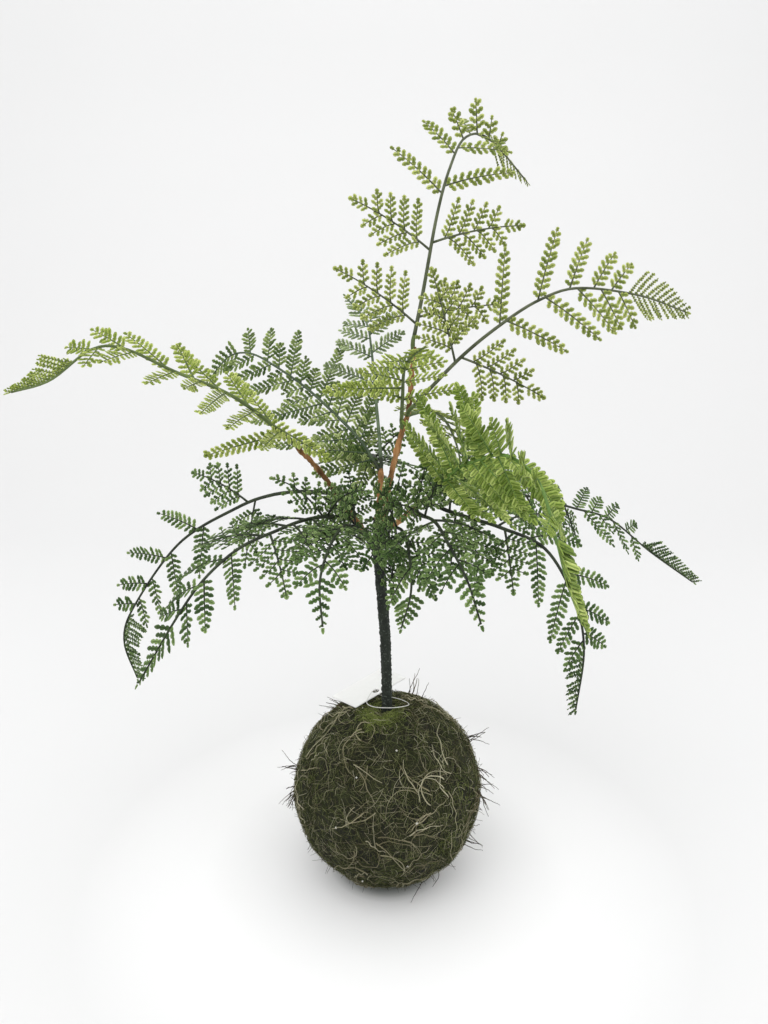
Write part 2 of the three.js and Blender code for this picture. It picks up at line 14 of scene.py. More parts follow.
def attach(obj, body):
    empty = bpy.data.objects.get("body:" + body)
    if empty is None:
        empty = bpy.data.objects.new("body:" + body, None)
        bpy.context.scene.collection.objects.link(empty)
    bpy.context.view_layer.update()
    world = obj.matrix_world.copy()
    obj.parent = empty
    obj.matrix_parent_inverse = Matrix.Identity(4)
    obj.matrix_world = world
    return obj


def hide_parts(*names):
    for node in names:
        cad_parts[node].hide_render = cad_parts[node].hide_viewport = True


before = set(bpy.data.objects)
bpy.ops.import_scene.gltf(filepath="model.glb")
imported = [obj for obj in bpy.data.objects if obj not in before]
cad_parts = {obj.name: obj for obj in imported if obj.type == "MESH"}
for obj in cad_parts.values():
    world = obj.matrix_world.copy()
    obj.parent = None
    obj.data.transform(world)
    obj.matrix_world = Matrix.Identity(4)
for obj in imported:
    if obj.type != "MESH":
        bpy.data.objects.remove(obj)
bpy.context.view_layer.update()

MM = 0.001

# The numbers that the part's source has too: the ball, the stem, the twigs and the fronds.
BALL_R = 60.0
BALL_Z = 58.0
RELIEF = 1.3
DENT = 4.0
DENT_ANGLE = 0.2
CORE_R = 49.0
GAP = 0.3
STEM_R = 3.1
STEM_TOP_R = 3.3
STEM_CLEARANCE = 0.5
STRAY_LENGTH = 10.0
BRANCH_R = 1.7
BRANCH_TIP_R = 1.4
FORK_R = 2.4
PEG_R = 1.15
PEG_RUN = 4.0
PEG_ROOT = 10.0
RACHIS_R = 1.15
RACHIS_TIP_R = 0.45
BLADE = 0.7
LONG_PAIRS = 5
RACHIS_STEPS = (5, 7)
SPACING_RATIO = 0.76
STAGGER = 0.012
TIP_FROM = 0.79
TIP_SPREAD = 0.28
PINNA_STEPS = 12
COMPOUND_ANGLE = 66.0
SIMPLE_ANGLE = 60.0
ANGLE_SPREAD = 8.0
COMPOUND_TEETH = 3
COMPOUND_STALK = 0.16
COMPOUND_SPREAD = 0.36
COMPOUND_TAPER = 0.75
SIMPLE_STALK = 0.08
SIMPLE_HALF = 4.3
SIMPLE_TAPER = 0.4
SIMPLE_MAX = 0.76
COMPOUND_FALL = 0.04
SIMPLE_START = 1.26
SIMPLE_FALL = 0.9
LENGTH_LEAST = 0.92
LENGTH_CHANCE = 0.16
SAG_LEAST = 0.6
SAG_CHANCE = 0.8
TOOTH_PITCH = 15.0
TOOTH_LEAN = 0.45
TOOTH_REST = 0.6
TWIST = 0.7
LIFTS = (0, 12, -12, 24, -24, 36, -36, 50, -50, 65, -65)
SHARES = (1, 0.72)

STEM = [(0, 0, 62), (0, 0, 110), (-1, 0, 158), (-3, 0, 188), (-5, 0, 214), (-6, 0, 220)]
BRANCHES = {
    "left": [(-14, -4, 234), (-24, -8, 249), (-38, -14, 272), (-50, -19, 287)],
    "tall": [(-2, 1, 238), (1, 2, 260), (7, 2, 287), (12, 2, 304), (14, 4, 327), (15, 5, 340)],
    "right": [(1, -7, 236), (10, -11, 245), (18, -17, 254), (23, -23, 260)],
    "back": [(-6, 7, 237), (-5, 14, 248), (-4, 19, 259), (-4, 23, 265)],
}

# Each frond: its name, what it grows on, its leaf colour, how far apart finer pinnae fill the room
# between those of the solid (0 for none, and wider apart towards the tip), its longest pinna, the bare
# share of its rachis, its pairs of pinnae, how many of these are cut twice, its sag, the path of its
# rachis, the way its upper side faces at its base and at its tip, and for some the way that its pinnae
# twist to face. The source has fewer colours and no fill.
FROND_KEYS = (
    "name", "on", "leaf", "fill", "reach", "bare", "pairs", "compound", "sag", "path", "face", "look",
)
FROND_ROWS = [
    ("tall", "tall", "light", 0, 52, 0.05, 5, 2, 0.25,
     [(15, 5, 346), (20, 8, 371), (27, 12, 410), (34, 18, 435), (43, 28, 452), (58, 40, 453), (83, 55, 432)],
     [(0.1, -1, 0.1), (0, -0.5, 1)]),
    ("upper_right", "tall", "light", 0, 50, 0.2, 6, 1, 0.2,
     [(15, -3, 308), (40, -8, 335), (61, -12, 353), (81, -14, 366), (102, -12, 372), (137, -5, 368),
      (165, 0, 359)],
     [(0, -1, 0.3), (-0.1, -1, 0.4)]),
    ("centre", "tall", "fresh", 0, 34, 0.2, 4, 1, 0.1,
     [(8, -3, 301), (8, -25, 317), (8, -55, 333), (11, -80, 342), (16, -100, 348)],
     [(0, -0.9, 0.7), (0, -0.5, 1)], (0, -1, 0.3)),
    ("behind", "tall", "fresh", 12, 36, 0.15, 4, 1, 0.3,
     [(16, 7, 302), (26, 25, 301), (38, 50, 289), (48, 75, 266), (54, 95, 237)],
     [(0, -0.4, 1), (0.3, 0.6, 0.8)]),
    ("left", "left", "fresh", 17, 46, 0.05, 5, 2, 0.1,
     [(-55, -21, 293), (-80, -36, 317), (-107, -50, 332), (-128, -60, 344), (-142, -66, 344),
      (-161, -72, 330), (-178, -78, 325)],
     [(0.1, -0.3, 1), (-0.2, -0.4, 1)], (0, -1, 0.5)),
    ("lower_left", "left", "dark", 0, 40, 0.24, 5, 1, 0.3,
     [(-31, -6, 257), (-49, -4, 258), (-69, -2, 255), (-90, 2, 246), (-126, 6, 223), (-157, 8, 182),
      (-166, 8, 158), (-159, 6, 132)],
     [(0, -1, 0.5), (-0.5, -1, 0.1)]),
    ("front_left", "left", "dark", 17, 44, 0.2, 5, 2, 0.7,
     [(-27, -17, 246), (-34, -32, 251), (-45, -50, 254), (-57, -65, 253), (-73, -80, 249),
      (-88, -92, 238), (-101, -100, 221), (-121, -106, 188)],
     [(0, -0.5, 1), (-0.8, -0.6, 0.3)]),
    ("inner_left", "left", "dark", 18, 34, 0.25, 4, 1, 0.7,
     [(-18, -12, 239), (-24, -45, 249), (-29, -80, 249), (-32, -105, 240), (-30, -118, 223)],
     [(0, -0.3, 1), (0, -1, 0.3)]),
    ("back_left", "back", "grey", 8, 48, 0.13, 5, 2, 0,
     [(-8, 27, 269), (-18, 36, 282), (-34, 48, 296), (-52, 60, 310), (-73, 70, 323), (-90, 80, 330),
      (-106, 88, 327), (-122, 94, 310)],
     [(0.1, -1, 0.6), (0, -0.9, 0.6)]),
    ("back", "back", "pale", 0, 34, 0.4, 4, 1, 0.1,
     [(-4, 27, 271), (-5, 34, 284), (-7, 45, 304), (-10, 62, 334), (-14, 78, 351), (-28, 100, 366)],
     [(0, -1, 0.3), (0, -0.8, 0.9)]),
    ("rear", "back", "dark", 30, 44, 0.2, 3, 1, 0.4,
     [(-5, 30, 263), (-9, 60, 266), (-17, 100, 251), (-25, 135, 216), (-31, 155, 173)],
     [(0, 0.3, 1), (0, 1, 0.4)]),
    ("front_right", "right", "bright", 9, 44, 0.16, 5, 2, 0.1,
     [(27, -27, 264), (34, -55, 282), (42, -80, 293), (50, -105, 301), (56, -122, 301),
      (62, -138, 295), (67, -150, 276), (72, -156, 257), (80, -158, 239)],
     [(0.75, 0.3, 0.6), (0.8, -0.5, 0.3)], (0.1, -1, 0.3)),
    ("lower_right", "right", "dark", 19, 42, 0.15, 5, 1, 0.6,
     [(26, -26, 256), (33, -35, 255), (46, -44, 253), (60, -50, 250), (83, -56, 240), (99, -60, 213),
      (106, -60, 184), (105, -56, 145)],
     [(0, -0.7, 1), (0.4, -1, 0)]),
    ("right", "right", "dark", 14, 40, 0.24, 5, 1, 0.1,
     [(21, -8, 254), (34, 8, 255), (58, 32, 251), (94, 52, 240), (127, 66, 228), (155, 76, 217),
      (187, 84, 191), (223, 90, 165)],
     [(-0.2, -0.7, 1), (0.2, -0.8, 1)]),
    ("inner_right", "right", "dark", 22, 34, 0.3, 4, 1, 0.6,
     [(16, -24, 250), (24, -58, 256), (29, -90, 254), (36, -112, 244), (42, -122, 226)],
     [(0, -0.3, 1), (0, -1, 0.4)]),
    ("front", "stem", "dark", 18, 40, 0.2, 3, 2, 0.8,
     [(-4, -12, 230), (2, -32, 244), (8, -50, 248), (11, -62, 240), (12, -68, 221), (7, -66, 199)],
     [(0.9, -0.3, 0.3), (0.2, -1, 0)], (0, -1, 0.3)),
]
FRONDS = [dict(zip(FROND_KEYS, row)) for row in FROND_ROWS]

# Loose root ends: azimuth from +X and elevation in degrees on the ball, then the way that each points.
STRAYS = [
    (-5, 16, 0.8, -0.2, -0.6), (-20, 8, 0.6, 0, -0.8), (-4, -2, 0.4, -0.1, -0.9), (10, 30, 0.9, 0, 0.3),
    (184, 14, -0.9, -0.1, 0.3), (194, 4, -0.5, -0.1, -0.9), (175, -6, -0.4, 0, -0.9),
    (-12, -32, 0.9, -0.1, -0.3), (-35, -46, -0.6, -0.3, -0.4), (50, 66, 0.3, 0.1, 0.9),
    (160, 60, -0.9, 0.2, 0.2), (95, 30, 0.3, 0.8, -0.4), (112, -12, -0.4, 0.7, -0.6),
]

CARD_CORNER = (-20, 0, 114.6)
CARD_ALONG = (0.74, 0.66, 0.13)
CARD_ACROSS = (-0.65, 0.75, -0.1)
CARD_SIZE = (44, 25, 0.6)
CARD_HOLE = (21, 4.5)
LOOP_FRONT = [
    (-13, 2, 117.4), (-8.5, -4, 117.8), (1, -5.6, 118), (9, -3.6, 117.6), (14, 2.5, 116), (8, 9, 116),
]
LOOP_BACK = (-11, 9.5, 119.2)
LOOP_BELOW = (1.8, -1.2, -1.7)
LOOP_ABOVE = (-1.2, -1.8, 1.7)
CORD_R = 0.25


def unit(v):
    """v, or each row of v, with length 1."""
    v = np.asarray(v, float)
    return v / np.maximum(np.linalg.norm(v, axis=-1, keepdims=True), 1e-9)


def wobble(i, j):
    """The same number between 0 and 1 for the same pair of whole numbers."""
    s = math.sin(i * 12.9898 + j * 78.233) * 43758.5453
    return s - math.floor(s)


def between(rows, share):
    """Rows at shares from 0 to 1 of the way through a table, with straight steps between rows."""
    rows = np.asarray(rows, float)
    x = np.clip(np.asarray(share, float), 0, 1) * (len(rows) - 1)
    i = np.minimum(x.astype(int), len(rows) - 2)
    w = (x - i)[:, None]
    return rows[i] * (1 - w) + rows[i + 1] * w


class Curve:
    """A smooth curve through points, as in the part's source."""

    def __init__(self, points, is_closed=False):
        p = np.array(points, float)
        if is_closed:
            self.knots = np.vstack([p[-1], p, p[0], p[1]])
        else:
            self.knots = np.vstack([2 * p[0] - p[1], p, 2 * p[-1] - p[-2]])
        self.t = np.linspace(0, 1, 201)
        steps = np.diff(self.raw(self.t), axis=0)
        self.lengths = np.concatenate([[0], np.cumsum(np.linalg.norm(steps, axis=1))])

    def raw(self, t):
        x = np.clip(t, 0, 1) * (len(self.knots) - 3)
        i = np.minimum(x.astype(int), len(self.knots) - 4)
        w = (x - i)[:, None]
        a, b, c, d = (self.knots[i + k] for k in range(4))
        t0, t1 = (c - a) / 2, (d - b) / 2
        return b + t0 * w + (3 * (c - b) - 2 * t0 - t1) * w**2 + (2 * (b - c) + t0 + t1) * w**3

    def where(self, u):
        return np.interp(np.asarray(u, float) * self.lengths[-1], self.lengths, self.t)

    def at(self, u):
        return self.raw(self.where(u))

    def tangent(self, u):
        t = self.where(u)
        return unit(self.raw(np.minimum(t + 1e-4, 1)) - self.raw(np.maximum(t - 1e-4, 0)))


def linked(name, data):
    """A new object in the scene."""
    obj = bpy.data.objects.new(name, data)
    bpy.context.scene.collection.objects.link(obj)
    return obj


class Piece:
    """Gathers vertices in millimetres, faces and their material slots, and makes one object of them.

    Each vertex carries a tone, which differs from leaflet to leaflet, and a rim, 1 at a leaflet's edge.
    """

    def __init__(self):
        self.points, self.faces, self.slots = [], [], []
        self.tones, self.rims = [], []
        self.count = 0

    def add(self, points, faces, slot=0, tone=0.5, rim=0.0):
        n = len(points)
        self.points.append(points)
        self.tones.append(np.broadcast_to(tone, n))
        self.rims.append(np.broadcast_to(rim, n))
        for block in faces:
            block = np.asarray(block, int)
            self.faces.append(block + self.count)
            self.slots.append(np.full(len(block), slot))
        self.count += n

    def make(self, name, materials, record_slot, *nodes):
        mesh = bpy.data.meshes.new(name)
        points = np.concatenate(self.points) * MM
        slots = np.concatenate(self.slots)
        mesh.from_pydata(points.tolist(), [], [face for block in self.faces for face in block.tolist()])
        for material in materials:
            mesh.materials.append(material)
        mesh.polygons.foreach_set("material_index", slots.astype(np.int32))
        mesh.polygons.foreach_set("use_smooth", np.ones(len(slots), bool))
        for key, values in (("tone", self.tones), ("rim", self.rims)):
            layer = mesh.attributes.new(key, "FLOAT", "POINT")
            layer.data.foreach_set("value", np.concatenate(values).astype(np.float32))
        obj = linked(name, mesh)
        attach(obj, "root")
        if nodes:
            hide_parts(*nodes)


def grid(rows, sides):
    """Faces between rows of points round a closed outline."""
    i = (np.arange(rows - 1) * sides)[:, None]
    k = np.arange(sides)[None]
    k2 = (k + 1) % sides
    return np.stack([i + k, i + sides + k, i + sides + k2, i + k2], -1).reshape(-1, 4)


def tubes(piece, paths, radii, ups, sides, slot=0, tone=0.5):
    """Round tubes with closed ends along many paths at once, each with the same number of points."""
    count, steps = paths.shape[:2]
    tangents = unit(np.gradient(paths, axis=1))
    across = unit(np.cross(tangents, ups))
    normals = np.cross(across, tangents)
    angles = 2 * np.pi * np.arange(sides) / sides
    ring = np.cos(angles)[:, None] * across[:, :, None] + np.sin(angles)[:, None] * normals[:, :, None]
    points = paths[:, :, None] + radii[:, :, None, None] * ring
    base = (np.arange(count) * steps * sides)[:, None]
    quads = (base[:, None] + grid(steps, sides)).reshape(-1, 4)
    first = base + np.arange(sides)
    last = base + (steps - 1) * sides + np.arange(sides)[::-1]
    tone = np.repeat(np.broadcast_to(tone, count), steps * sides)
    piece.add(points.reshape(-1, 3), [quads, first, last], slot, tone)


CUP = 0.2
MIDRIB_DROP = 0.02
LEAF_DEPTH = 0.16


def leaf_shape(half, chain):
    """A cupped leaflet's outline and its midrib as points, and its triangles. Its length and width are 1.

    half is the outline on one side from the base to just before the point, and chain the midrib's shares.
    """
    outline = [(x, -y) for x, y in half] + [(1.0, 0.0)] + half[::-1]
    n, m = len(outline), len(chain)
    points = [(x, y, CUP * abs(y)) for x, y in outline]
    points += [(x, 0.0, -MIDRIB_DROP) for x in chain]
    points += [(x, 0.0, -LEAF_DEPTH) for x in chain]
    sides = (range(len(half) + 1), [*range(n - 1, len(half), -1), len(half)])
    triangles = []
    for is_left, rim in zip((False, True), sides):
        i = j = 0
        while i < len(rim) - 1 or j < m - 1:
            if j == m - 1 or (i < len(rim) - 1 and points[rim[i + 1]][0] <= chain[j + 1]):
                top = (rim[i], rim[i + 1], n + j)
                i += 1
            else:
                top = (rim[i], n + j + 1, n + j)
                j += 1
            under = tuple(v + m if v >= n else v for v in top)
            triangles += [top[::-1], under] if is_left else [top, under[::-1]]
    triangles += [(n - 1, 0, n), (0, n - 1, n + m)]
    rims = np.array([1.0] * n + [0.0] * (2 * m))
    return np.array(points), np.array(triangles), rims


OVAL = leaf_shape(
    [(0, 0.14), (0.13, 0.43), (0.32, 0.5), (0.45, 0.27), (0.6, 0.49), (0.78, 0.42), (0.94, 0.24)],
    [0.22, 0.74],
)
OAK = leaf_shape(
    [(0, 0.16), (0.1, 0.42), (0.22, 0.48), (0.3, 0.2), (0.42, 0.5), (0.55, 0.46), (0.61, 0.18), (0.72, 0.43),
     (0.84, 0.36), (0.95, 0.18)],
    [0.2, 0.5, 0.82],
)
TONGUE = leaf_shape([(0, 0.5), (0.45, 0.5), (0.72, 0.46), (0.93, 0.28)], [0.2, 0.8])
STRAP = leaf_shape(
    [(0, 0.36), (0.1, 0.5), (0.18, 0.49), (0.22, 0.34), (0.3, 0.5), (0.38, 0.48), (0.42, 0.33), (0.5, 0.48),
     (0.58, 0.44), (0.62, 0.3), (0.7, 0.41), (0.77, 0.36), (0.81, 0.24), (0.91, 0.24)],
    [0.1, 0.5, 0.9],
)


def leaves(piece, shape, base, along, up, length, width, tone):
    """Adds a leaflet of a shape at each base point."""
    points, triangles, rims = shape
    along = unit(along)
    across = unit(np.cross(up, along))
    up = np.cross(along, across)
    xyz = (
        base[:, None]
        + points[None, :, :1] * length[:, None, None] * along[:, None]
        + points[None, :, 1:2] * width[:, None, None] * across[:, None]
        + points[None, :, 2:] * width[:, None, None] * up[:, None]
    )
    n = len(points)
    faces = triangles[None] + (np.arange(len(base)) * n)[:, None, None]
    piece.add(xyz.reshape(-1, 3), [faces.reshape(-1, 3)], 0, np.repeat(tone, n), np.tile(rims, len(base)))


RIB_SLOT = 1

# How each colour of frond is cut: the room along a pinna for one feather (0 where leaflets stand straight
# on a pinna's midrib), a feather's half width and the pitch of its leaflets, the pitch and the greatest
# half width of leaflets straight on a midrib, their lean from it in degrees, the share of the pitch that a
# leaflet is wide, its shape, and how far a pinna rolls about its midrib.
CUT_KEYS = ("gap", "half", "pitch", "ladder_pitch", "ladder_half", "lean", "share", "shape", "roll")
CUT_ROWS = {
    "light": (9.6, 3.5, 2.95, 3.7, 4.4, 62, 0.72, OVAL, 0.15),
    "fresh": (0, 0, 0, 3.2, 4.8, 62, 0.74, OVAL, 0.25),
    "bright": (0, 0, 0, 2.5, 5.0, 72, 0.98, TONGUE, 0.55),
    "dark": (8.0, 3.4, 2.75, 3.1, 5.2, 70, 0.76, OVAL, 0.3),
    "grey": (0, 0, 0, 2.9, 5.0, 60, 0.78, OVAL, 0.2),
    "pale": (0, 0, 0, 2.9, 5.0, 60, 0.7, OVAL, 0.2),
}
CUTS = {look: dict(zip(CUT_KEYS, row)) for look, row in CUT_ROWS.items()}

# How the tip of each kind of frond is cut: its length as a share of TIP_SPREAD, its pitch, how much it
# tapers, then either the greatest half width of its feathers, or, where that is 0, its leaflets' shape,
# their width as a share of the pitch and at most of their length, and how far they are raised.
TIP_ROWS = {
    "light": (1, 3.2, 0.85, 1.0, None, 0, 0, 0),
    "fresh": (0.85, 3.4, 0.85, 0, STRAP, 0.82, 0.55, 0),
    "fresh folded": (0.85, 2.5, 0.85, 1.0, None, 0, 0, 0),
    "bright": (0.85, 2.1, 0.85, 0, TONGUE, 1.35, 0.75, 0.35),
    "dark": (0.85, 3.6, 0.85, 0, OAK, 0.82, 0.55, 0),
    "dark folded": (0.85, 3.1, 0.6, 1.2, None, 0, 0, 0),
}
TIP_KINDS = {"grey": "dark", "pale": "dark"}
TIP_CUT = {**CUTS["light"], "share": 1.1, "lean": 50}

# The side of a frond's tip that is folded, by how many degrees, and how long that side and the other are
# as shares of what they would be.
TIP_FOLD = {
    "left": (-1, -100, 0.3, 1.1),
    "right": (1, -112, 1.15, 0.45),
    "lower_right": (-1, 75, 1, 1.15),
    "lower_left": (1, 72, 1, 1.6),
}

# What is added to the way out on the first side of a tip, and the lean of a tip's teeth in degrees.
TIP_DROOP = {"tall": (0, 0.45, -0.9), "left": (-0.2, -0.85, 0.45)}
TIP_LEAN = {"tall": 88, "left": 64, "right": 72, "lower_right": 92, "lower_left": 92}
COMMON_TIP_LEAN = 60
TIP_LEAN_FALL = 12
TIP_LEAN_SPREAD = 4
TIP_LIFT = (-0.12, 0.2)
TIP_FIRST = 0.45
TIP_STAGGER = 0.18
FINGER_CURL = 0.12
FINGER_WIDEST = 0.3
FINGER_PITCH = 1.5
LAST_LENGTH = 3.0
LAST_WIDTH = 1.8

# Pinnae that stand out of a frond's own plane: the share of the rachis, the way and the length of each.
LOOSE_PINNAE = {
    "tall": [
        (0.66, (-0.37, 0, 0.93), 17), (0.73, (-0.07, 0, 1), 18), (0.785, (0.1, 0, 1), 12),
        (0.83, (0.3, 0, 0.95), 8),
    ],
    "left": [(0.02, (-0.97, -0.1, -0.2), 44), (0.09, (0.87, -0.1, -0.48), 38)],
    "back_left": [
        (0.01, (-0.92, 0, -0.22), 38), (0.02, (-0.4, 0, -0.9), 34), (0.03, (0.25, -0.1, -0.95), 32),
        (0.04, (-0.75, -0.2, 0.1), 40),
    ],
    "inner_left": [(0.01, (-0.45, -0.3, 0.85), 40), (0.02, (-0.05, -0.2, 1), 38)],
    "centre": [(0.33, (-1, 0.1, 0), 42)],
    "inner_right": [(0.01, (0.1, -0.1, 1), 34)],
}
FACING = (0, -0.95, 0.3)


def leaning(along, across, up, degrees, lift):
    """Ways that lean from along towards across by an angle, and are lifted towards up."""
    angle = np.radians(degrees)
    return np.cos(angle)[:, None] * along + np.sin(angle)[:, None] * across + lift[:, None] * up


PAIR_STAGGER = 0.14
ROOM_AT_END = 0.45
LEAN_FALL = 18
LEAN_SPREAD = 7
LEAFLET_LIFT = (-0.15, 0.3)
LENGTH_SPREAD = (0.92, 1.06)
WIDTH_SPREAD = (0.94, 1.06)
WIDEST = 0.85
END_LEAFLET = 1.25


def feather(piece, path, ups, half, pitch, radii, rng, cut, painted_fill_light, bare=0.6):
    """A rib with leaflets in pairs and one at its end.

    half(u) is its half width along its length, radii are the rib's at its foot and its end, and bare is
    how many pitches of it come before the first pair.
    """
    distance = np.concatenate([[0], np.cumsum(np.linalg.norm(np.diff(path, axis=0), axis=1))])
    total = distance[-1]
    tubes(piece, path[None], np.linspace(*radii, len(path))[None], ups[None], 4, RIB_SLOT)
    tangents = unit(np.gradient(path, axis=0))
    count = max(1, int((total - (bare + ROOM_AT_END) * pitch) / pitch) + 1)
    for side in (1, -1):
        d = bare * pitch + pitch * np.arange(count) + side * PAIR_STAGGER * pitch
        u = d / total
        base, along, up = (
            np.stack([np.interp(d, distance, column) for column in table.T], 1)
            for table in (path, tangents, ups)
        )
        lean = cut["lean"] - LEAN_FALL * u + rng.uniform(-LEAN_SPREAD, LEAN_SPREAD, count)
        lift = rng.uniform(*LEAFLET_LIFT, count)
        way = leaning(along, side * unit(np.cross(along, up)), up, lean, lift)
        length = np.array([half(v) for v in u]) / np.sin(np.radians(lean))
        length = length * rng.uniform(*LENGTH_SPREAD, count)
        width = np.minimum(WIDEST * length, cut["share"] * pitch) * rng.uniform(*WIDTH_SPREAD, count)
        # The leaflets' tones are scaled by the pinna's painted light.
        leaves(piece, cut["shape"], base, way, up, length, width, painted_fill_light * rng.uniform(0, 1, count))
    end = half(1.0) * END_LEAFLET
    leaves(
        piece, cut["shape"], path[-1:] - 0.3 * end * tangents[-1:], tangents[-1:], ups[-1:],
        np.array([end * 1.2]), np.array([min(0.9 * end, pitch)]), rng.uniform(0, 1, 1),
    )


def rachis(frond, s, is_smooth=False):
    """Points, tangents, normals and side directions of a frond's rachis at shares s of its length."""
    s = np.atleast_1d(np.asarray(s, float))
    curve = Curve(frond["path"])
    knots = np.linspace(0, 1, RACHIS_STEPS[frond["pairs"] >= LONG_PAIRS] + 1)
    tangents = unit(between(curve.tangent(knots), s))
    face = between(unit(frond["face"]), s)
    normals = unit(face - (face * tangents).sum(1, keepdims=True) * tangents)
    points = curve.at(s) if is_smooth else between(curve.at(knots), s)
    return points, tangents, normals, np.cross(tangents, normals)


def rib(base, direction, normal, length, sag, u):
    """Points, normals and side directions at shares u of a pinna's midrib, which bends down."""
    tangents = np.repeat(direction[None], PINNA_STEPS + 1, 0)
    tangents[:, 2] -= sag * np.arange(PINNA_STEPS + 1) / PINNA_STEPS
    tangents = unit(tangents)
    steps = tangents[1:] * length / PINNA_STEPS
    points = base + np.vstack([np.zeros(3), np.cumsum(steps, axis=0)])
    along = unit(between(tangents, u))
    up = unit(normal - (along @ normal)[:, None] * along)
    return between(points, u), up, np.cross(along, up)


def blade_facts(pinna, share):
    """How a pinna's blade is cut: its length, the share of its stalk, its teeth and its half width."""
    length = pinna["length"] * share
    if pinna["is_compound"]:
        spread = COMPOUND_SPREAD * length
        return length, COMPOUND_STALK, COMPOUND_TEETH, lambda u: spread * (1 - COMPOUND_TAPER * u)
    teeth = max(2, math.floor(length / TOOTH_PITCH + 0.5))
    return length, SIMPLE_STALK, teeth, lambda u: SIMPLE_HALF * (1 - SIMPLE_TAPER * u * u)


def turned(pinna, lift):
    """A pinna's direction and normal when it is bent up by lift degrees and twisted towards its look."""
    a = math.radians(lift)
    direction = math.cos(a) * pinna["direction"] + math.sin(a) * pinna["normal"]
    normal = math.cos(a) * pinna["normal"] - math.sin(a) * pinna["direction"]
    if pinna["look"]:
        normal = (1 - TWIST) * normal + TWIST * unit(pinna["look"])
    return direction, normal


def corners_of(pinna, lift, share):
    """The points that a pinna's solid has at its teeth and at its end, on both faces."""
    length, stalk, teeth, half = blade_facts(pinna, share)
    pitch = (1 - stalk) / (teeth + TOOTH_REST)
    starts = stalk + pitch * np.arange(teeth)
    outs = np.array([half(u + pitch / 2) for u in starts])
    tips = np.minimum(starts + pitch / 2 + TOOTH_LEAN * outs / length, 1)
    u = np.concatenate([tips, tips, [1]])
    out = np.concatenate([outs, -outs, [0]])
    points, up, across = rib(pinna["base"], *turned(pinna, lift), length, pinna["sag"], u)
    middle = points + out[:, None] * across
    return np.vstack([middle + BLADE / 2 * up, middle - BLADE / 2 * up])


def tree_of(node):
    """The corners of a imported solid, in millimetres, for looking up."""
    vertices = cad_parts[node].data.vertices
    tree = kdtree.KDTree(len(vertices))
    for i, v in enumerate(vertices):
        tree.insert(v.co / MM, i)
    tree.balance()
    return tree


FOUND_WITHIN = 0.3
FOUND_SHARE = 0.45


def fitted(pinna, tree):
    """The lift and the share of its length with which the solid has this pinna, or None."""
    best, best_share = None, FOUND_SHARE
    for share in SHARES:
        for lift in LIFTS:
            corners = corners_of(pinna, lift, share)
            found = np.mean([tree.find(c)[2] < FOUND_WITHIN for c in corners])
            if found > best_share:
                best, best_share = (lift, share), found
    return best


# Painted light on the leaflets: their tone is scaled up near a frond's foot, where the plant shades itself,
# and down a little farther out along its rachis.
PAINTED_LIGHT_AT_FOOT = 1.25
PAINTED_LIGHT_FALL = 0.35
PAINTED_LIGHT_RUN = 0.4


def pinna_at(frond, s, side, chance, is_compound, length):
    """A pinna: where it leaves the rachis, its way, length and sag, and what its leaflets are like."""
    point, tangent, normal, across = (table[0] for table in rachis(frond, s))
    lean = (COMPOUND_ANGLE if is_compound else SIMPLE_ANGLE) - ANGLE_SPREAD * chance
    angle = math.radians(lean)
    return {
        "base": point,
        "shift": rachis(frond, s, is_smooth=True)[0][0] - point,
        "direction": math.cos(angle) * tangent + side * math.sin(angle) * across,
        "normal": normal,
        "length": length,
        "is_compound": is_compound,
        "sag": frond["sag"] * (SAG_LEAST + SAG_CHANCE * chance),
        "cut": CUTS[frond["leaf"]],
        "look": frond.get("look"),
        # Painted light, which scales the tone of its leaflets.
        "painted_fill_light": PAINTED_LIGHT_AT_FOOT - PAINTED_LIGHT_FALL * min(1.0, s / PAINTED_LIGHT_RUN),
    }


def station(frond, k):
    """The share of the rachis at which pair k leaves it, without the stagger."""
    progress = (1 - SPACING_RATIO**k) / (1 - SPACING_RATIO ** frond["pairs"])
    return frond["bare"] + (TIP_FROM - frond["bare"]) * progress, progress


def pinnae_of(frond, index):
    """Every pinna that the part's source gives a frond."""
    for k in range(frond["pairs"]):
        for side in (1, -1):
            chance = wobble(index * 31 + k, side)
            s, progress = station(frond, k)
            is_compound = k < frond["compound"]
            simple = min(SIMPLE_MAX, SIMPLE_START - SIMPLE_FALL * progress)
            share = 1 - COMPOUND_FALL * k if is_compound else simple
            length = frond["reach"] * share * (LENGTH_LEAST + LENGTH_CHANCE * chance)
            yield pinna_at(frond, s + STAGGER * side, side, chance, is_compound, length)


FINER_FIRST = 0.02
FINER_ROLL = 20
FINER_COMPOUND = 20
COMPOUND_UNTIL = 0.55
GREY_SHARE = 0.62
FREE_LIFTS = (-15, 75)
LOOSE_COMPOUND = 30


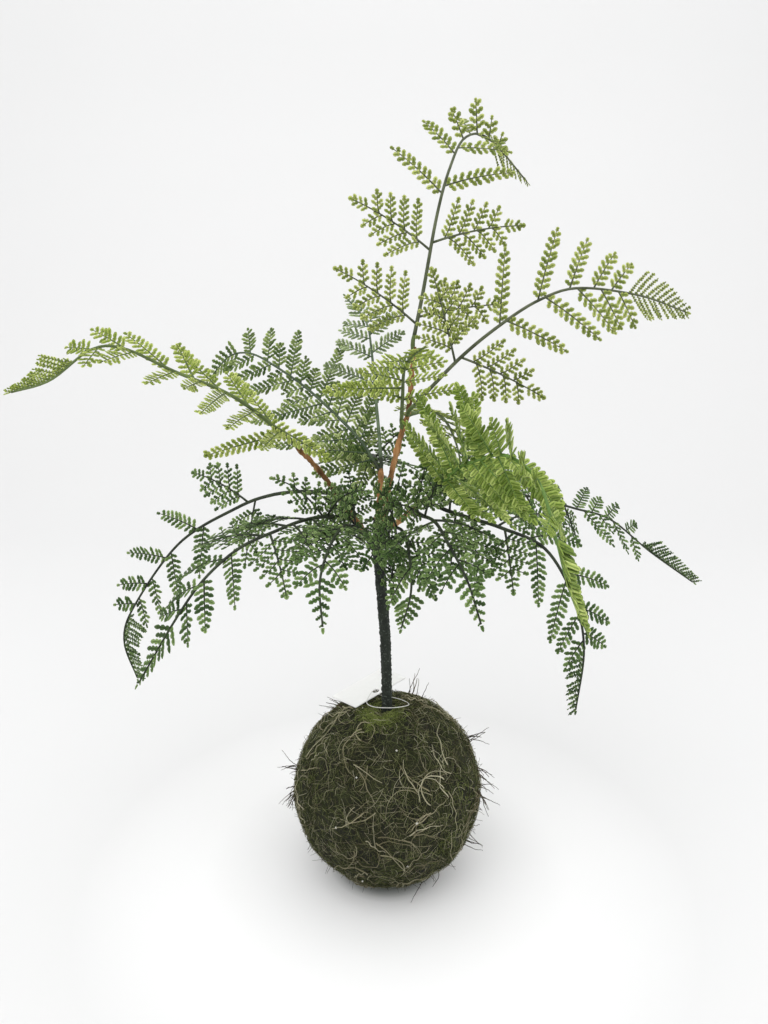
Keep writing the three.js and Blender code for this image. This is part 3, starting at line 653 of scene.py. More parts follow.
def finer_pinnae_of(frond, rng):
    """Pinnae that fill the room between those of the solid, each with the lift that it is bent by.

    Those of a dark frond's bare stalk are free: they bend up more and turn to the front.
    """
    if not frond["fill"]:
        return
    bare = frond["bare"]
    shorter = GREY_SHARE if frond["leaf"] == "grey" else 1
    rachis_length = Curve(frond["path"]).lengths[-1]
    stations = [min(FINER_FIRST, bare), *(station(frond, k)[0] for k in range(frond["pairs"])), TIP_FROM]
    for a, b in zip(stations, stations[1:]):
        outer = 1 + 2 * max(0.0, (a + b) / 2 - bare)
        count = int((b - a) * rachis_length / (frond["fill"] * outer))
        for j in range(count):
            s = a + (b - a) * (j + 1) / (count + 1)
            along = max(0.0, (s - bare) / (TIP_FROM - bare))
            is_free = s < bare and frond["leaf"] == "dark"
            for side in (1, -1):
                share = min(0.95, 1.15 - 0.85 * along) * rng.uniform(0.65, 1.0)
                length = frond["reach"] * share * shorter
                is_compound = length > FINER_COMPOUND and along < COMPOUND_UNTIL
                pinna = pinna_at(frond, s + STAGGER * side, side, rng.uniform(0, 1), is_compound, length)
                if is_free:
                    pinna["look"] = FACING
                yield pinna, rng.uniform(*(FREE_LIFTS if is_free else (-FINER_ROLL, FINER_ROLL)))


def loose_pinnae_of(frond):
    """Pinnae that stand out of the frond's plane and face the front."""
    for s, way, length in LOOSE_PINNAE.get(frond["name"], ()):
        pinna = pinna_at(frond, s, 1, 0.5, length > LOOSE_COMPOUND, length)
        yield {**pinna, "direction": unit(way), "normal": np.array(FACING), "look": None}


LADDER_SWELL = 1.4
FEATHER_FOOT = 0.12
FEATHER_REACH = 1.12
FEATHER_SLANT = 0.62
FEATHER_BEND = (-0.06, 0.14)
FEATHERS_UNTIL = 0.8
MIDRIB_END = 0.97
THICK_RIB = 0.65
THIN_RIB = 0.5
RIB_END_R = 0.22


def grow_pinna(piece, pinna, lift, share, rng):
    """A midrib with leaflets straight on it or, on a large pinna of some fronds, with feathers of them."""
    cut = pinna["cut"]
    length, stalk, _, half = blade_facts(pinna, share)
    direction, normal = turned(pinna, lift)
    normal = unit(normal + rng.uniform(-1, 1) * cut["roll"] * np.cross(direction, normal))
    wide = cut["half"]

    def at(u):
        return rib(pinna["base"] + pinna["shift"], direction, normal, length, pinna["sag"], u)

    def grow(points, up, out, pitch, radii, bare=0.6):
        feather(piece, points, up, out, pitch, radii, rng, cut, pinna["painted_fill_light"], bare)

    def straight_half(u):
        return min(LADDER_SWELL * half(u), cut["ladder_half"]) * min(1, 0.6 + 4 * u) * (1 - 0.5 * u**3)

    if not (pinna["is_compound"] and cut["gap"]):
        points, up, _ = at(np.linspace(0, 1 - 1.5 / length, 9))
        thick = THICK_RIB if pinna["is_compound"] else THIN_RIB
        grow(points, up, straight_half, cut["ladder_pitch"], (thick, RIB_END_R), 0.7)
        return
    points, up, _ = at(np.linspace(0, MIDRIB_END, 10))
    tubes(piece, points[None], np.linspace(0.7, 0.3, 10)[None], up[None], 6, RIB_SLOT)
    count = max(2, round(0.72 * length / cut["gap"]))
    for side in (1, -1):
        for k in range(count):
            foot = stalk + (FEATHERS_UNTIL - stalk) * (k + FEATHER_FOOT * side) / count
            out = FEATHER_REACH * half(foot + 0.05)
            tip = min(foot + FEATHER_SLANT * out / length, 1.0)
            u = np.linspace(0, 1, 5)
            points, up, across = at(foot + (tip - foot) * u**0.85)
            points = points + (side * (out - 1.2) * u**1.1)[:, None] * across
            points = points + (rng.uniform(*FEATHER_BEND) * out * u**2)[:, None] * up
            grow(points, up, lambda v: wide * (1 - 0.35 * v * v), cut["pitch"], (0.4, RIB_END_R))
    points, up, _ = at(np.linspace(FEATHERS_UNTIL, MIDRIB_END, 5))
    grow(points, up, lambda v: 1.15 * wide * (1 - 0.35 * v), cut["pitch"], (0.35, RIB_END_R), 0.1)


def grow_finger(piece, start, way, toward, up, length, half, rng):
    """One feather of a tip, which curves towards the rachis's own way."""
    v = np.linspace(0, 1, 5)[:, None]
    path = start + length * (v * way + FINGER_CURL * v * v * toward)
    half = min(half, FINGER_WIDEST * length)
    feather(
        piece, path, np.repeat(up[None], 5, 0), lambda u: half * (1 - 0.25 * u * u), FINGER_PITCH,
        (0.3, 0.18), rng, TIP_CUT, painted_fill_light=1.0, bare=0.4,
    )


def grow_tip(piece, frond, rng):
    """The far end of a frond: close lobed fingers that get shorter towards the point."""
    name = frond["name"]
    folded, fold, folded_share, other_share = TIP_FOLD.get(name, (0, 0, 1, 1))
    fold = math.radians(fold)
    kind = TIP_KINDS.get(frond["leaf"], frond["leaf"]) + (" folded" if folded else "")
    share, pitch, taper, finger, shape, of_pitch, of_length, raised = TIP_ROWS[kind]
    count = int(Curve(frond["path"]).lengths[-1] * (1 - TIP_FROM) / pitch)
    for side in (1, -1):
        u = (np.arange(count) + TIP_FIRST + TIP_STAGGER * side) / count
        points, tangents, normals, across = rachis(frond, TIP_FROM + (1 - TIP_FROM) * u, is_smooth=True)
        lean = TIP_LEAN.get(name, COMMON_TIP_LEAN) - TIP_LEAN_FALL * u
        lean = lean + rng.uniform(-TIP_LEAN_SPREAD, TIP_LEAN_SPREAD, count)
        lift = rng.uniform(*TIP_LIFT, count) + raised
        if folded == side:
            out, back = side * across, -normals
            across = side * (math.cos(fold) * out + math.sin(fold) * back)
            normals = math.cos(fold) * normals + math.sin(fold) * out
        if name in TIP_DROOP and side > 0:
            across = unit(across + TIP_DROOP[name])
            normals = np.cross(across, tangents)
        ways = leaning(tangents, side * across, normals, lean, lift)
        size = TIP_SPREAD * frond["reach"] * share * (1 - taper * u) / np.sin(np.radians(lean))
        size = size * (folded_share if folded == side else other_share)
        if finger:
            for start, way, toward, up, long in zip(points, unit(ways), tangents, normals, size):
                grow_finger(piece, start, way, toward, up, long, finger, rng)
        else:
            wide = np.minimum(of_pitch * pitch, of_length * size)
            leaves(piece, shape, points, ways, normals, size, wide, rng.uniform(0, 1, count))
    points, tangents, normals, _ = rachis(frond, 1.0, is_smooth=True)
    size, wide = np.array([LAST_LENGTH]), np.array([LAST_WIDTH])
    leaves(piece, STRAP, points, tangents, normals, size, wide, rng.uniform(0, 1, 1))


RACHIS_POINTS = 48
FROND_SLOTS = {"light": "frond_light", "fresh": "frond_light", "bright": "frond_bright"}


def grow_frond(frond, index):
    rng = np.random.default_rng(100 + index)
    piece = Piece()
    s = np.linspace(0, 0.995, RACHIS_POINTS)
    points, _, normals, _ = rachis(frond, s, is_smooth=True)
    radii = RACHIS_R + (RACHIS_TIP_R - RACHIS_R) * s
    tubes(piece, points[None], radii[None], normals[None], 10, RIB_SLOT)
    node = "frond_" + frond["name"]
    tree = tree_of(node)
    for pinna in pinnae_of(frond, index):
        fit = fitted(pinna, tree)
        if fit:
            grow_pinna(piece, pinna, *fit, rng)
    for pinna, lift in finer_pinnae_of(frond, rng):
        grow_pinna(piece, pinna, lift, 1, rng)
    for pinna in loose_pinnae_of(frond):
        grow_pinna(piece, pinna, 0, 1, rng)
    grow_tip(piece, frond, rng)
    look = frond["leaf"]
    record_slot = FROND_SLOTS.get(look, "frond_dark")
    piece.make(node + "_leaflets", [LEAF[look], RIB[look]], record_slot, node)


# Materials.


class Shader:
    """A new material: its Principled shader and the nodes that feed it, in the object's own coordinates."""

    def __init__(self, name, roughness, specular=None):
        self.material = bpy.data.materials.new(name)
        self.material.use_nodes = True
        self.tree = self.material.node_tree
        self.principled = self.tree.nodes["Principled BSDF"]
        self.feed(self.principled, {"Roughness": roughness})
        if specular is not None:
            self.feed(self.principled, {"Specular IOR Level": specular})
        self.place = self.node("TexCoord").outputs["Object"]

    def feed(self, node, values):
        """Links a node's inputs to other nodes' outputs, or sets the inputs themselves to values."""
        for key, value in values.items():
            socket = [s for s in node.inputs if s.name == key and s.enabled][0]
            if isinstance(value, bpy.types.NodeSocket):
                self.tree.links.new(value, socket)
            else:
                socket.default_value = value

    def node(self, kind, settings=None, **inputs):
        node = self.tree.nodes.new("ShaderNode" + kind)
        for key, value in (settings or {}).items():
            setattr(node, key, value)
        self.feed(node, inputs)
        return node

    def noise(self, scale, detail=2.0, stretch=None):
        place = self.place
        if stretch:
            place = self.node("Mapping", Scale=stretch, Vector=place).outputs["Vector"]
        return self.node("TexNoise", Scale=scale, Detail=detail, Vector=place).outputs["Fac"]

    def attribute(self, name):
        return self.node("Attribute", {"attribute_name": name}).outputs["Fac"]

    def ramp(self, fac, *stops):
        """A colour for a value, from stops of (position, colour)."""
        node = self.node("ValToRGB")
        elements = node.color_ramp.elements
        while len(elements) < len(stops):
            elements.new(0.5)
        for element, (position, colour) in zip(elements, stops):
            element.position = position
            element.color = (*colour, 1)
        self.feed(node, {"Fac": fac})
        return node.outputs["Color"]

    def mix(self, a, b, share=1.0, blend="MULTIPLY"):
        settings = {"data_type": "RGBA", "blend_type": blend}
        node = self.node("Mix", settings, Factor=share, A=a, B=b)
        return [s for s in node.outputs if s.enabled][0]

    def finish(self, colour, height=None, depth=0.0, strength=0.6):
        """Sets the colour and, where there is a height, bumps the surface by it, depth metres deep."""
        self.feed(self.principled, {"Base Color": colour})
        if height:
            bump = self.node("Bump", Strength=strength, Distance=depth, Height=height)
            self.feed(self.principled, {"Normal": bump.outputs["Normal"]})
        return self.material


# What the tone is multiplied by along a leaflet's vein: its own darker colour and partly painted shade.
VEIN_COLOUR_AND_SHADE = (0.2, 0.26, 0.16)
LEAF_SPECULAR = 0.15


def leaf_material(name, deep, middle, pale, rim):
    """Soft moulded plastic: each leaflet has its own tone, a darker vein and a painted highlight at its rim.

    The vein's colour, partly painted shade, and rim, a painted highlight, multiply the tone in the middle
    and at the edge.
    """
    s = Shader(name, 0.5, LEAF_SPECULAR)
    tone = s.ramp(s.attribute("tone"), (0.0, deep), (0.55, middle), (1.0, pale))
    patches = s.ramp(s.noise(45), (0.3, deep), (0.7, pale))
    body = s.mix(tone, patches, 0.3, "MIX")
    # Painted shade along the vein and a painted highlight at the rim.
    across = s.ramp(s.attribute("rim"), (0.0, VEIN_COLOUR_AND_SHADE), (0.45, (0.9, 0.9, 0.9)), (1.0, rim))
    return s.finish(s.mix(body, across), s.noise(900), 0.0005, 0.8)


def grain_material(name, colours, grain, depth, height=None, roughness=0.5, strength=0.4, specular=None):
    """Colours that follow one noise, on a surface bumped by it or by another noise."""
    s = Shader(name, roughness, specular)
    fac = s.noise(*grain)
    colour = s.ramp(fac, *zip(np.linspace(0.3, 0.7, len(colours)), colours))
    return s.finish(colour, s.noise(*height) if height else fac, depth, strength)


def rib_material(name, *colours):
    return grain_material(name, colours, (120, 4.0), 0.0003, (700, 3.0), strength=0.6, specular=0.3)


# The way along which the fibres' painted light and shade rise: up the ball and a little to its right.
PAINTED_LIGHT_TOWARDS = (1.8, 0, 8)
FIBRE_SPECULAR = 0.15


def fibre_material(name, *colours):
    """Dry fibres: tone picks one of several colours, which drift over the ball in patches.

    They carry painted light and shade: lighter towards the ball's top and a little towards its right side,
    and darker towards its foot.
    """
    s = Shader(name, 0.85, FIBRE_SPECULAR)
    own = s.ramp(s.attribute("tone"), *((i / (len(colours) - 1), c) for i, c in enumerate(colours)))
    patch = s.ramp(s.noise(38, 3.0), (0.35, colours[0]), (0.65, colours[-1]))
    # Painted light and shade: the fibres' colour is multiplied by a ramp along that way.
    painted_light_rise = s.node("VectorMath", {"operation": "DOT_PRODUCT"}, Vector=s.place)
    painted_light_rise.inputs[1].default_value = PAINTED_LIGHT_TOWARDS
    light = s.ramp(painted_light_rise.outputs["Value"], (0.05, (0.6, 0.62, 0.6)), (1.0, (1.32, 1.37, 1.34)))
    return s.finish(s.mix(s.mix(own, patch, 0.3, "MIX"), light), s.noise(1500), 0.0002)


def twig_material(name):
    """Brown paper wound on wire, lighter and redder in streaks along it."""
    s = Shader(name, 0.85, 0.25)
    streaks = s.noise(260, 4.0, (1, 1, 0.18))
    colour = s.ramp(streaks, (0.3, (0.15, 0.075, 0.03)), (0.5, (0.4, 0.2, 0.08)), (0.72, (0.6, 0.34, 0.15)))
    stains = s.ramp(s.noise(70), (0.38, (0.35, 0.33, 0.3)), (0.6, (1, 1, 1)))
    return s.finish(s.mix(colour, stains), streaks, 0.0006)


def tape_material(name):
    """Dark flocked wrap with paler flecks of fibre."""
    s = Shader(name, 0.9)
    base = s.ramp(s.noise(160, 4.0), (0.3, (0.006, 0.009, 0.006)), (0.7, (0.022, 0.03, 0.02)))
    flecks = s.ramp(s.noise(900), (0.6, (0, 0, 0)), (0.72, (1, 1, 1)))
    return s.finish(s.mix(base, (0.12, 0.14, 0.12, 1), flecks, "MIX"), s.noise(1100, 3.0), 0.0006, 0.9)


def made(make, prefix, rows):
    """The materials of a family, by the names of its rows of colours."""
    return {name: make(prefix + name, *colours) for name, colours in rows.items()}


# Each row: the deep, middle and pale tones, and the painted rim highlight that a leaflet's edge is
# multiplied by.
LEAF = made(leaf_material, "leaf_", {
    "light": ((0.18, 0.24, 0.045), (0.34, 0.41, 0.085), (0.58, 0.65, 0.2), (1.6, 1.5, 2.1)),
    "fresh": ((0.19, 0.27, 0.035), (0.37, 0.47, 0.08), (0.6, 0.69, 0.19), (1.6, 1.5, 2.1)),
    "bright": ((0.1, 0.185, 0.02), (0.3, 0.43, 0.065), (0.64, 0.77, 0.21), (1.5, 1.4, 2.0)),
    "dark": ((0.028, 0.068, 0.017), (0.103, 0.19, 0.047), (0.34, 0.47, 0.165), (1.7, 1.6, 2.0)),
    "grey": ((0.04, 0.085, 0.018), (0.17, 0.26, 0.06), (0.5, 0.6, 0.22), (1.6, 1.5, 1.9)),
    "pale": ((0.1, 0.15, 0.055), (0.28, 0.36, 0.15), (0.56, 0.65, 0.36), (1.5, 1.5, 1.8)),
})
RIB = made(rib_material, "rib_", {
    "light": ((0.035, 0.045, 0.02), (0.12, 0.14, 0.075)),
    "fresh": ((0.06, 0.09, 0.025), (0.13, 0.18, 0.055)),
    "bright": ((0.07, 0.14, 0.03), (0.16, 0.28, 0.06)),
    "dark": ((0.006, 0.01, 0.005), (0.035, 0.05, 0.022)),
    "grey": ((0.03, 0.055, 0.025), (0.09, 0.13, 0.065)),
    "pale": ((0.05, 0.08, 0.04), (0.13, 0.18, 0.1)),
})
FIBRE = made(fibre_material, "fibre_", {
    "dark": ((0.014, 0.015, 0.006), (0.04, 0.042, 0.015), (0.09, 0.092, 0.035), (0.045, 0.065, 0.02)),
    "olive": ((0.035, 0.036, 0.014), (0.11, 0.112, 0.045), (0.34, 0.325, 0.17), (0.11, 0.14, 0.045)),
    "green": ((0.06, 0.08, 0.02), (0.15, 0.185, 0.045), (0.33, 0.37, 0.11)),
    "root": ((0.12, 0.1, 0.055), (0.3, 0.265, 0.165), (0.54, 0.5, 0.36)),
    "stray": ((0.015, 0.012, 0.008), (0.045, 0.035, 0.022), (0.12, 0.095, 0.065)),
})
TWIG = twig_material("twig_paper")
TAPE = tape_material("stem_wrap")
SOIL_COLOURS = [(0.006, 0.006, 0.003), (0.018, 0.019, 0.008), (0.035, 0.04, 0.015)]
SOIL = grain_material("moss_ground", SOIL_COLOURS, (90, 6.0), 0.0012, (700, 5.0), 0.95, 1.0)
FOAM_COLOURS = [(0.3, 0.22, 0.12), (0.42, 0.33, 0.2)]
CARD_COLOURS = [(0.95, 0.95, 0.94), (0.98, 0.98, 0.97)]
NYLON_COLOURS = [(0.75, 0.74, 0.7), (0.85, 0.85, 0.82)]
SPECK_COLOURS = [(0.6, 0.58, 0.52), (0.85, 0.84, 0.8)]
FOAM = grain_material("core_foam", FOAM_COLOURS, (500, 4.0), 0.0006, roughness=0.9)
CARD = grain_material("tag_card", CARD_COLOURS, (350, 4.0), 0.00008)
NYLON = grain_material("loop_nylon", NYLON_COLOURS, (600, 4.0), 0.00008, roughness=0.3)
SPECK = grain_material("moss_specks", SPECK_COLOURS, (900, 4.0), 0.0003, roughness=0.7)


# The fronds, the stem and the twigs.

for number, frond_facts in enumerate(FRONDS):
    grow_frond(frond_facts, number)


def rough_tube(piece, points, r0, r1, sides, steps, grain, depth, seed, slot=0, knots=()):
    """A tube with an uneven surface through given points. knots are (share, swelling, half length)."""
    curve = Curve(points)
    s = np.linspace(0, 1, steps)
    path = curve.at(s)
    radii = r0 + (r1 - r0) * s
    for share, swelling, half in knots:
        radii = radii + swelling * np.exp(-(((s - share) * curve.lengths[-1]) / half) ** 2)
    chord = unit(path[-1] - path[0])
    side = (1.0, 0, 0) if abs(chord[2]) > 0.7 else (0, 0, 1.0)
    tubes(piece, path[None], radii[None], np.broadcast_to(side, (1, steps, 3)), sides, slot)
    made_points = piece.points[-1]
    away = unit(made_points - np.repeat(path, sides, 0))
    offsets = np.array([noise.noise(Vector(p * grain) + Vector((seed, 0, 0))) for p in made_points])
    piece.points[-1] = made_points + away * depth * offsets[:, None]


def pegs(piece, anchors, carried, radius, slot, seed):
    """The short stalks that hold what grows on a stem or a twig."""
    for k, path in enumerate(carried):
        start = np.array(path[0], float)
        along = Curve(path).tangent(np.array([0.0]))[0]
        root = start - PEG_ROOT * along
        anchor = anchors[np.argmin(np.linalg.norm(anchors - root, axis=1))]
        rough_tube(
            piece, [anchor, start - PEG_RUN * along, start + 0.5 * along],
            radius * 1.15, radius, sides=12, steps=14, grain=0.9, depth=0.12, seed=seed + k, slot=slot,
        )


def carried_by(name):
    return [frond["path"] for frond in FRONDS if frond["on"] == name]


STEM_END = (-6.6, 0, 223)
STEM_END_R = 2.6

stem_piece = Piece()
rough_tube(stem_piece, STEM, STEM_R, STEM_TOP_R, sides=28, steps=220, grain=0.75, depth=0.75, seed=5)
stem_end = [*STEM[-2:], STEM_END]
rough_tube(stem_piece, stem_end, STEM_TOP_R, STEM_END_R, sides=24, steps=12, grain=0.8, depth=0.6, seed=9)
stem_top = np.array([STEM[-1]], float)
pegs(stem_piece, stem_top, BRANCHES.values(), FORK_R, 0, 20)
pegs(stem_piece, stem_top, carried_by("stem"), PEG_R, 0, 30)
stem_piece.make("stem_wrapped", [TAPE], "tape", "stem")

for number, (branch_name, branch_path) in enumerate(BRANCHES.items()):
    twig = Piece()
    swellings = [(wobble(number, 3 + k), 0.45, 2.2) for k in range(2)]
    rough_tube(
        twig, branch_path, BRANCH_R, BRANCH_TIP_R,
        sides=18, steps=90, grain=0.5, depth=0.55, seed=40 + number, knots=swellings,
    )
    on_branch = Curve(branch_path).at(np.linspace(0, 1, 25))
    pegs(twig, on_branch, carried_by(branch_name), PEG_R, 1, 50 + 5 * number)
    rib_look = "dark" if branch_name in ("back", "right") else "fresh"
    twig.make(f"branch_{branch_name}_paper", [TWIG, RIB[rib_look]], "twig", "branch_" + branch_name)


# The moss ball.


def moss_radius(n):
    """The distance of the mat's surface from the ball's centre, in directions n."""
    x, y, z = n.T
    lumps = np.sin(7 * x + 2) * np.sin(6 * y + 1) * np.sin(7 * z + 3)
    lumps = lumps + 0.6 * np.sin(13 * x + 5 * z) * np.sin(12 * y - 4 * z + 2)
    dent = DENT * np.exp(-((np.arccos(np.clip(z, -1, 1)) / DENT_ANGLE) ** 2))
    return BALL_R + RELIEF * lumps - dent


BALL_CENTRE = np.array([0, 0, BALL_Z])
HOLE_R = STEM_R + STEM_CLEARANCE
STEM_MARGIN = 0.3
LOWEST = 0.45


def on_ball(n, height=0.0):
    """Points over directions n at a height above the mat, no lower than the ground."""
    points = BALL_CENTRE + n * (moss_radius(n) + height)[:, None]
    points[:, 2] = np.maximum(points[:, 2], LOWEST)
    return points


MAT_AROUND = 220
MAT_ROWS = 120
MAT_INNER_ROWS = 20


def moss_ground():
    """The mat as one closed shell: inside against the core, round the stem's hole, and outside."""
    inner_r = CORE_R + GAP
    azimuth = 2 * math.pi * np.arange(MAT_AROUND) / MAT_AROUND
    ring = np.stack([np.cos(azimuth), np.sin(azimuth)], 1)
    rows = []
    for polar in np.linspace(math.pi - 0.02, math.asin(HOLE_R / inner_r), MAT_INNER_ROWS):
        z = np.full(MAT_AROUND, BALL_Z + inner_r * math.cos(polar))
        rows.append(np.column_stack([inner_r * math.sin(polar) * ring, z]))
    for polar in np.linspace(math.asin(HOLE_R / (BALL_R - DENT)), math.pi - 0.005, MAT_ROWS):
        n = np.column_stack([math.sin(polar) * ring, np.full(MAT_AROUND, math.cos(polar))])
        fine = np.array([noise.noise(Vector(v * 26)) + 0.6 * noise.noise(Vector(v * 60)) for v in n])
        rows.append(on_ball(n, -0.9 + 0.8 * fine))
    first = np.arange(MAT_AROUND)
    last = (len(rows) - 1) * MAT_AROUND + first[::-1]
    piece = Piece()
    piece.add(np.concatenate(rows), [grid(len(rows), MAT_AROUND), first[None], last[None]])
    piece.make("moss_ground", [SOIL], "moss", "moss_cover")


def level(ways, n):
    """Ways brought into the ball's surface at directions n."""
    return unit(ways - (ways * n).sum(1, keepdims=True) * n)


def fibre_paths(rng, n, ways, lengths, steps, curl, low, high):
    """Curved fibres that lie on the mat. Their height wanders between low and high."""
    count = len(n)
    way = level(ways, n)
    turn = rng.normal(0, curl, count)
    stride = lengths / (steps - 1) / BALL_R
    phase = rng.uniform(0, 2 * np.pi, count)
    speed = rng.uniform(0.5, 1.6, count)
    rows, ups = [], []
    for i in range(steps):
        height = (low + high) / 2 + (high - low) / 2 * np.sin(phase + speed * i)
        rows.append(on_ball(n, height))
        ups.append(n)
        side = np.cross(n, way)
        way = unit(way + (turn + rng.normal(0, curl * 0.6, count))[:, None] * side)
        n = unit(n + way * stride[:, None])
        way = level(way, n)
    return np.stack(rows, 1), np.stack(ups, 1)


def anywhere(rng, count):
    """Directions all over the ball."""
    return unit(rng.normal(0, 1, (count, 3)))


def clear_of_stem(n, least):
    """Those of directions n that stay far enough from the hole for the stem, and which these are."""
    clear = np.arccos(np.clip(n[:, 2], -1, 1)) > least
    return n[clear], clear


def card_sides():
    """The directions of the card's length, its width and its upper side."""
    x = unit(CARD_ALONG)
    z = unit(np.cross(x, unit(CARD_ACROSS)))
    return x, np.cross(z, x), z


def lay(name, look, rng, paths, radii, ups, sides, margin, is_by_stem=False):
    """Makes one piece of the fibres that keep a margin from the card and, where asked, from the stem."""
    local = (paths - np.array(CARD_CORNER)) @ np.stack(card_sides(), 1)
    keep = ~((local > -margin) & (local < np.array(CARD_SIZE) + margin)).all(-1).any(-1)
    if is_by_stem:
        from_axis = np.hypot(paths[:, :, 0], paths[:, :, 1]).min(1)
        keep &= (from_axis > HOLE_R + STEM_MARGIN) | (paths[:, :, 2].max(1) < BALL_Z)
    tone = rng.uniform(0, 1, len(paths))
    piece = Piece()
    tubes(piece, paths[keep], radii[keep], ups[keep], sides, 0, tone[keep])
    piece.make(name, [FIBRE[look]], "moss")


FIBRE_ANGLE = 0.085


def fibres(name, look, seed, count, lengths, thick, steps, curl, low, high, where=anywhere):
    """Many fibres of a length and a radius in two ranges, between two heights over the mat."""
    rng = np.random.default_rng(seed)
    n, _ = clear_of_stem(where(rng, count), FIBRE_ANGLE)
    count = len(n)
    ways = rng.normal(0, 1, (count, 3))
    paths, ups = fibre_paths(rng, n, ways, rng.uniform(*lengths, count), steps, curl, low, high)
    radii = rng.uniform(*thick, count)[:, None] * np.linspace(1, 0.45, steps)
    lay(name, look, rng, paths, radii, ups, sides=3, margin=0.3, is_by_stem=True)


BUNDLES = 46
ROOTS_IN_BUNDLE = (2, 6)
BUNDLE_SPREAD = 0.055
ROOT_WANDER = 0.35
ROOT_LENGTHS = (12, 36)
ROOT_RADII = (0.2, 0.42)
ROOT_STEPS = 16
STEM_ANGLE = 0.12


def root_clusters():
    """Thicker roots in loose bundles: each bundle runs one way, and each root in it wanders a little from
    that way.
    """
    rng = np.random.default_rng(16)
    starts, ways, lengths = [], [], []
    for _ in range(BUNDLES):
        start = anywhere(rng, 1)[0]
        way = rng.normal(0, 1, 3)
        for _ in range(rng.integers(*ROOTS_IN_BUNDLE)):
            starts.append(start + rng.normal(0, BUNDLE_SPREAD, 3))
            ways.append(unit(way) + rng.normal(0, ROOT_WANDER, 3))
            lengths.append(rng.uniform(*ROOT_LENGTHS))
    n, clear = clear_of_stem(unit(starts), STEM_ANGLE)
    ways, lengths = np.array(ways)[clear], np.array(lengths)[clear]
    paths, ups = fibre_paths(rng, n, ways, lengths, ROOT_STEPS, 0.11, 0.3, 1.8)
    radii = rng.uniform(*ROOT_RADII, len(n))[:, None] * np.linspace(1, 0.4, ROOT_STEPS)
    lay("moss_roots", "root", rng, paths, radii, ups, sides=5, margin=0.6, is_by_stem=True)


def near_top(rng, count):
    """Directions in the bright patch round the stem, most of them towards the front."""
    polar = np.abs(rng.normal(0.06, 0.1, count)) + 0.08
    azimuth = rng.uniform(0, 2 * np.pi, count)
    n = np.stack([np.sin(polar) * np.cos(azimuth), np.sin(polar) * np.sin(azimuth), np.cos(polar)], 1)
    return unit(n + np.array([-0.08, -0.13, 0]))


def in_patches(rng, count):
    """Directions gathered in a few soft patches over the ball."""
    centres = unit([
        (0.8, -0.5, 0.35), (0.55, -0.8, -0.2), (-0.5, 0.7, 0.5), (0.1, 0.9, -0.3), (0.75, -0.6, -0.05),
        (-0.8, -0.5, 0.5), (0.0, -0.95, -0.45), (-0.9, 0.2, 0.1),
    ])
    pick = rng.integers(0, len(centres), count)
    return unit(centres[pick] + rng.normal(0, 0.13, (count, 3)))


STRAY_STEPS = 12
STRAYS_EACH = 7
STRAY_LOWEST = 0.5
STRAY_RADII = (0.45, 0.18)
FINER_STRAYS = 0.7
SHORT_ENDS = 1500
SHORT_RADII = (0.17, 0.08)


def stray_fibres():
    """Loose root ends that stand out of the mat where the solids have them, each with finer ones by it."""
    rng = np.random.default_rng(21)
    paths, radii, ups = [], [], []
    for azimuth, elevation, *way in STRAYS:
        a, e = math.radians(azimuth), math.radians(elevation)
        n = np.array([math.cos(e) * math.cos(a), math.cos(e) * math.sin(a), math.sin(e)])
        for k in range(STRAYS_EACH):
            spread = min(k, 1)
            n_k = unit(n + spread * rng.normal(0, 0.05, 3))
            way_k = unit(unit(way) + spread * rng.normal(0, 0.28, 3))
            size = STRAY_LENGTH * (rng.uniform(0.6, 1.7) if k else 1)
            surface = on_ball(n_k[None])[0]
            bend = surface + n_k + 0.3 * size * way_k
            tip = bend + 0.7 * size * way_k + rng.normal(0, 0.8, 3)
            path = Curve([surface - 3 * n_k, bend, tip]).at(np.linspace(0, 1, STRAY_STEPS))
            path = path + np.cumsum(rng.normal(0, 0.2, path.shape), axis=0)
            path[:, 2] = np.maximum(path[:, 2], STRAY_LOWEST)
            paths.append(path)
            radii.append(np.linspace(*STRAY_RADII, STRAY_STEPS) * (FINER_STRAYS if k else 1))
            ups.append(np.broadcast_to(unit(np.cross(way_k, n_k + [0.1, 0.2, 0.3])), path.shape))
    paths, radii, ups = np.array(paths), np.array(radii), np.array(ups)
    lay("moss_strays", "stray", rng, paths, radii, ups, sides=5, margin=1.0)


def short_ends():
    """Short fibre ends that stick out all over the ball and break its outline."""
    rng = np.random.default_rng(22)
    n, _ = clear_of_stem(anywhere(rng, SHORT_ENDS), STEM_ANGLE)
    count = len(n)
    foot = on_ball(n, -0.5)
    way = unit(0.55 * n + rng.normal(0, 0.75, (count, 3)))
    run = (2.2 + 5.5 * rng.uniform(0, 1, count) ** 2)[:, None] * way
    bend = rng.normal(0, 0.5, (count, 3))
    paths = np.stack([foot, foot + 0.35 * run, foot + 0.7 * run + 0.3 * bend, foot + run + bend], 1)
    paths[:, :, 2] = np.maximum(paths[:, :, 2], 0.3)
    radii = np.broadcast_to(np.linspace(*SHORT_RADII, 4), (count, 4))
    ups = np.broadcast_to(unit(np.cross(way, rng.normal(0, 1, (count, 3))))[:, None], paths.shape)
    lay("moss_ends", "stray", rng, paths, radii, ups, sides=3, margin=1.5)


